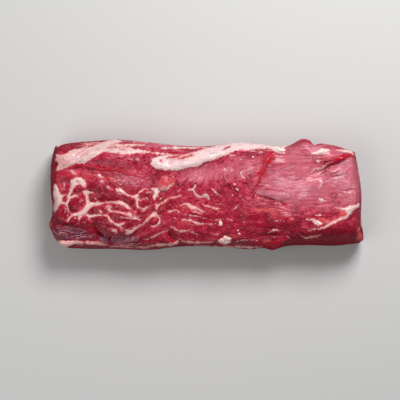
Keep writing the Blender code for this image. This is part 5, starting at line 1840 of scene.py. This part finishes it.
def film_material(name, first, second):
    """Drawn-out connective tissue between two colours, uneven along its length."""
    material = bpy.data.materials.new(name)
    material.use_nodes = True
    tree = material.node_tree
    shader = tree.nodes["Principled BSDF"]
    place = add(tree, "ShaderNodeSeparateXYZ", in_0=place_in_mm(tree))
    grain = use_group(tree, MUSCLE_GRAIN, Along=place.outputs[0], Across=place.outputs[1],
                      Height=place.outputs[2],
                      Stretch=2.0)
    share = math_node(tree, "ADD", math_node(tree, "MULTIPLY", attribute(tree, "blush"), 0.5),
                      ramp_between(tree, grain.outputs["Mottle"], 0.35, 0.75))
    tree.links.new(mix_colour(tree, math_node(tree, "MULTIPLY", share, 0.7), first, second),
                   shader.inputs["Base Color"])
    shader.inputs["Roughness"].default_value = 0.35
    shader.inputs["Specular IOR Level"].default_value = 0.22
    return material


RED_RIBBON = [(23.5, 82.9), (28, 84.8), (38.6, 84.0), (47.6, 82.2), (52, 80.8), (60, 81), (68, 79.8),
              (77, 76.2),
              (88, 73.4)]
RIB_START, RIB_END, RIB_STEP = 61.5, 88.0, 1.55
ribs = [[(x, 8.6), (x + 1.0, 11.4), (x + 2.6, 14.6)] for x in np.arange(RIB_START, RIB_END, RIB_STEP)]
grow("fan_folds", strand_mesh("fold_paths", [skin_strand(path, 0.75, 0.42, 0.15) for path in FAN_FOLDS]),
     STRANDS,
     Thickness=1.0, Flatness=0.45, Lumpiness=0.0006, Sides=8, Finish=VEIN_FAT, **{"Lump Scale": 260.0})
grow("red_ribbon", strand_mesh("ribbon_path", [skin_strand(RED_RIBBON, 1.6, 0.3, 0.12, taper=0.12)]),
     STRANDS, Thickness=1.0,
     Flatness=0.32, Lumpiness=0.0012, Sides=14,
     Finish=film_material("wet_scarlet", (0.36, 0.002, 0.018, 1), (0.52, 0.035, 0.07, 1)),
     **{"Lump Scale": 160.0})
grow("pressed_ribs",
     strand_mesh("rib_paths", [skin_strand(path, 0.62, 0.5, 0.3, taper=0.5) for path in ribs]), STRANDS,
     Thickness=1.0, Flatness=0.7, Lumpiness=0.0004, Sides=8,
     Finish=film_material("pressed_membrane", (0.26, 0.065, 0.10, 1), (0.46, 0.21, 0.26, 1)),
     **{"Lump Scale": 300.0})
grow("membrane_lines",
     strand_mesh("membrane_paths", [skin_strand(p, 0.30, 0.6, 0.1) for p in MEMBRANE_LINES]),
     STRANDS, Thickness=1.0, Flatness=0.3, Lumpiness=0.0008, Sides=6,
     Finish=film_material("lilac_membrane", (0.34, 0.18, 0.25, 1), (0.58, 0.40, 0.47, 1)),
     **{"Lump Scale": 500.0})
fibres = (fibre_rows(((42, 84), (96, 93)), 0.42, 11, 34, 0.24, 5)
          + fibre_rows(((30, 76), (70, 82)), -0.12, 12, 10, 0.22, 6)
          + fibre_rows(((226, 84), (256, 98)), -0.05, 15, 22, 0.22, 7)
          + fibre_rows(((264, 76), (284, 88)), 0.75, 9, 14, 0.22, 8)
          + fibre_rows(((244, 56), (296, 82)), 0.04, 16, 26, 0.18, 9)
          + fibre_rows(((134, 62), (176, 78)), 0.8, 9, 26, 0.2, 10))
grow("silky_fibres", strand_mesh("fibre_paths", fibres), STRANDS, Thickness=1.0, Flatness=0.15,
     Lumpiness=0.0004,
     Sides=6, Finish=film_material("silky_film", (0.40, 0.05, 0.085, 1), (0.66, 0.27, 0.34, 1)),
     **{"Lump Scale": 400.0})


# %% [markdown]
# The set is plain: a pale floor, one large soft light from behind on the right,
# a weak fill, and an even pale sky. The camera looks straight down, as in the
# photograph. A long lens keeps the sides from spreading.

# %% Floor, lights and camera
CAMERA_HEIGHT = 1.5
FOCUS_LEVEL = 0.032
FRAME_WIDTH = 0.400
SENSOR = 36.0
LOOK_AT = (150.0, 50.0)
FLOOR_GREY = (0.52, 0.515, 0.51, 1)


def make_floor():
    """A pale matt floor under the meat."""
    mesh = bmesh.new()
    bmesh.ops.create_grid(mesh, x_segments=8, y_segments=8, size=2.5)
    data = bpy.data.meshes.new("floor")
    mesh.to_mesh(data)
    mesh.free()
    floor = bpy.data.objects.new("floor", data)
    bpy.context.scene.collection.objects.link(floor)
    material = bpy.data.materials.new("pale_floor")
    material.use_nodes = True
    shader = material.node_tree.nodes["Principled BSDF"]
    shader.inputs["Base Color"].default_value = FLOOR_GREY
    shader.inputs["Roughness"].default_value = 0.7
    data.materials.append(material)


def make_light(name, place, size, power):
    """A square soft light aimed at the middle of the meat."""
    light = bpy.data.lights.new(name, "AREA")
    light.energy = power
    light.size = size
    item = bpy.data.objects.new(name, light)
    item.location = place
    item.rotation_euler = (Vector((0, 0, 0.03)) - Vector(place)).to_track_quat("-Z", "Y").to_euler()
    bpy.context.scene.collection.objects.link(item)


def make_sky(strength):
    """An even pale sky."""
    world = bpy.data.worlds.new("sky")
    world.use_nodes = True
    world.node_tree.nodes["Background"].inputs["Color"].default_value = (1, 1, 1, 1)
    world.node_tree.nodes["Background"].inputs["Strength"].default_value = strength
    bpy.context.scene.world = world


def make_camera():
    """A camera straight above, framing what the photograph frames."""
    camera = bpy.data.cameras.new("camera")
    camera.sensor_width = SENSOR
    camera.lens = SENSOR * (CAMERA_HEIGHT - FOCUS_LEVEL) / FRAME_WIDTH
    item = bpy.data.objects.new("camera", camera)
    item.location = ((LOOK_AT[0] - PLAN_CENTRE[0]) * MM, (LOOK_AT[1] - PLAN_CENTRE[1]) * MM, CAMERA_HEIGHT)
    bpy.context.scene.collection.objects.link(item)
    bpy.context.scene.camera = item
    print("lens", round(camera.lens), "mm")


make_floor()
make_light("window", (0.34, 0.76, 0.95), 0.5, 17.6)
make_light("fill", (-0.6, -0.35, 0.95), 0.8, 4.6)
make_sky(0.2)
make_camera()
bpy.context.scene.view_settings.view_transform = "Standard"
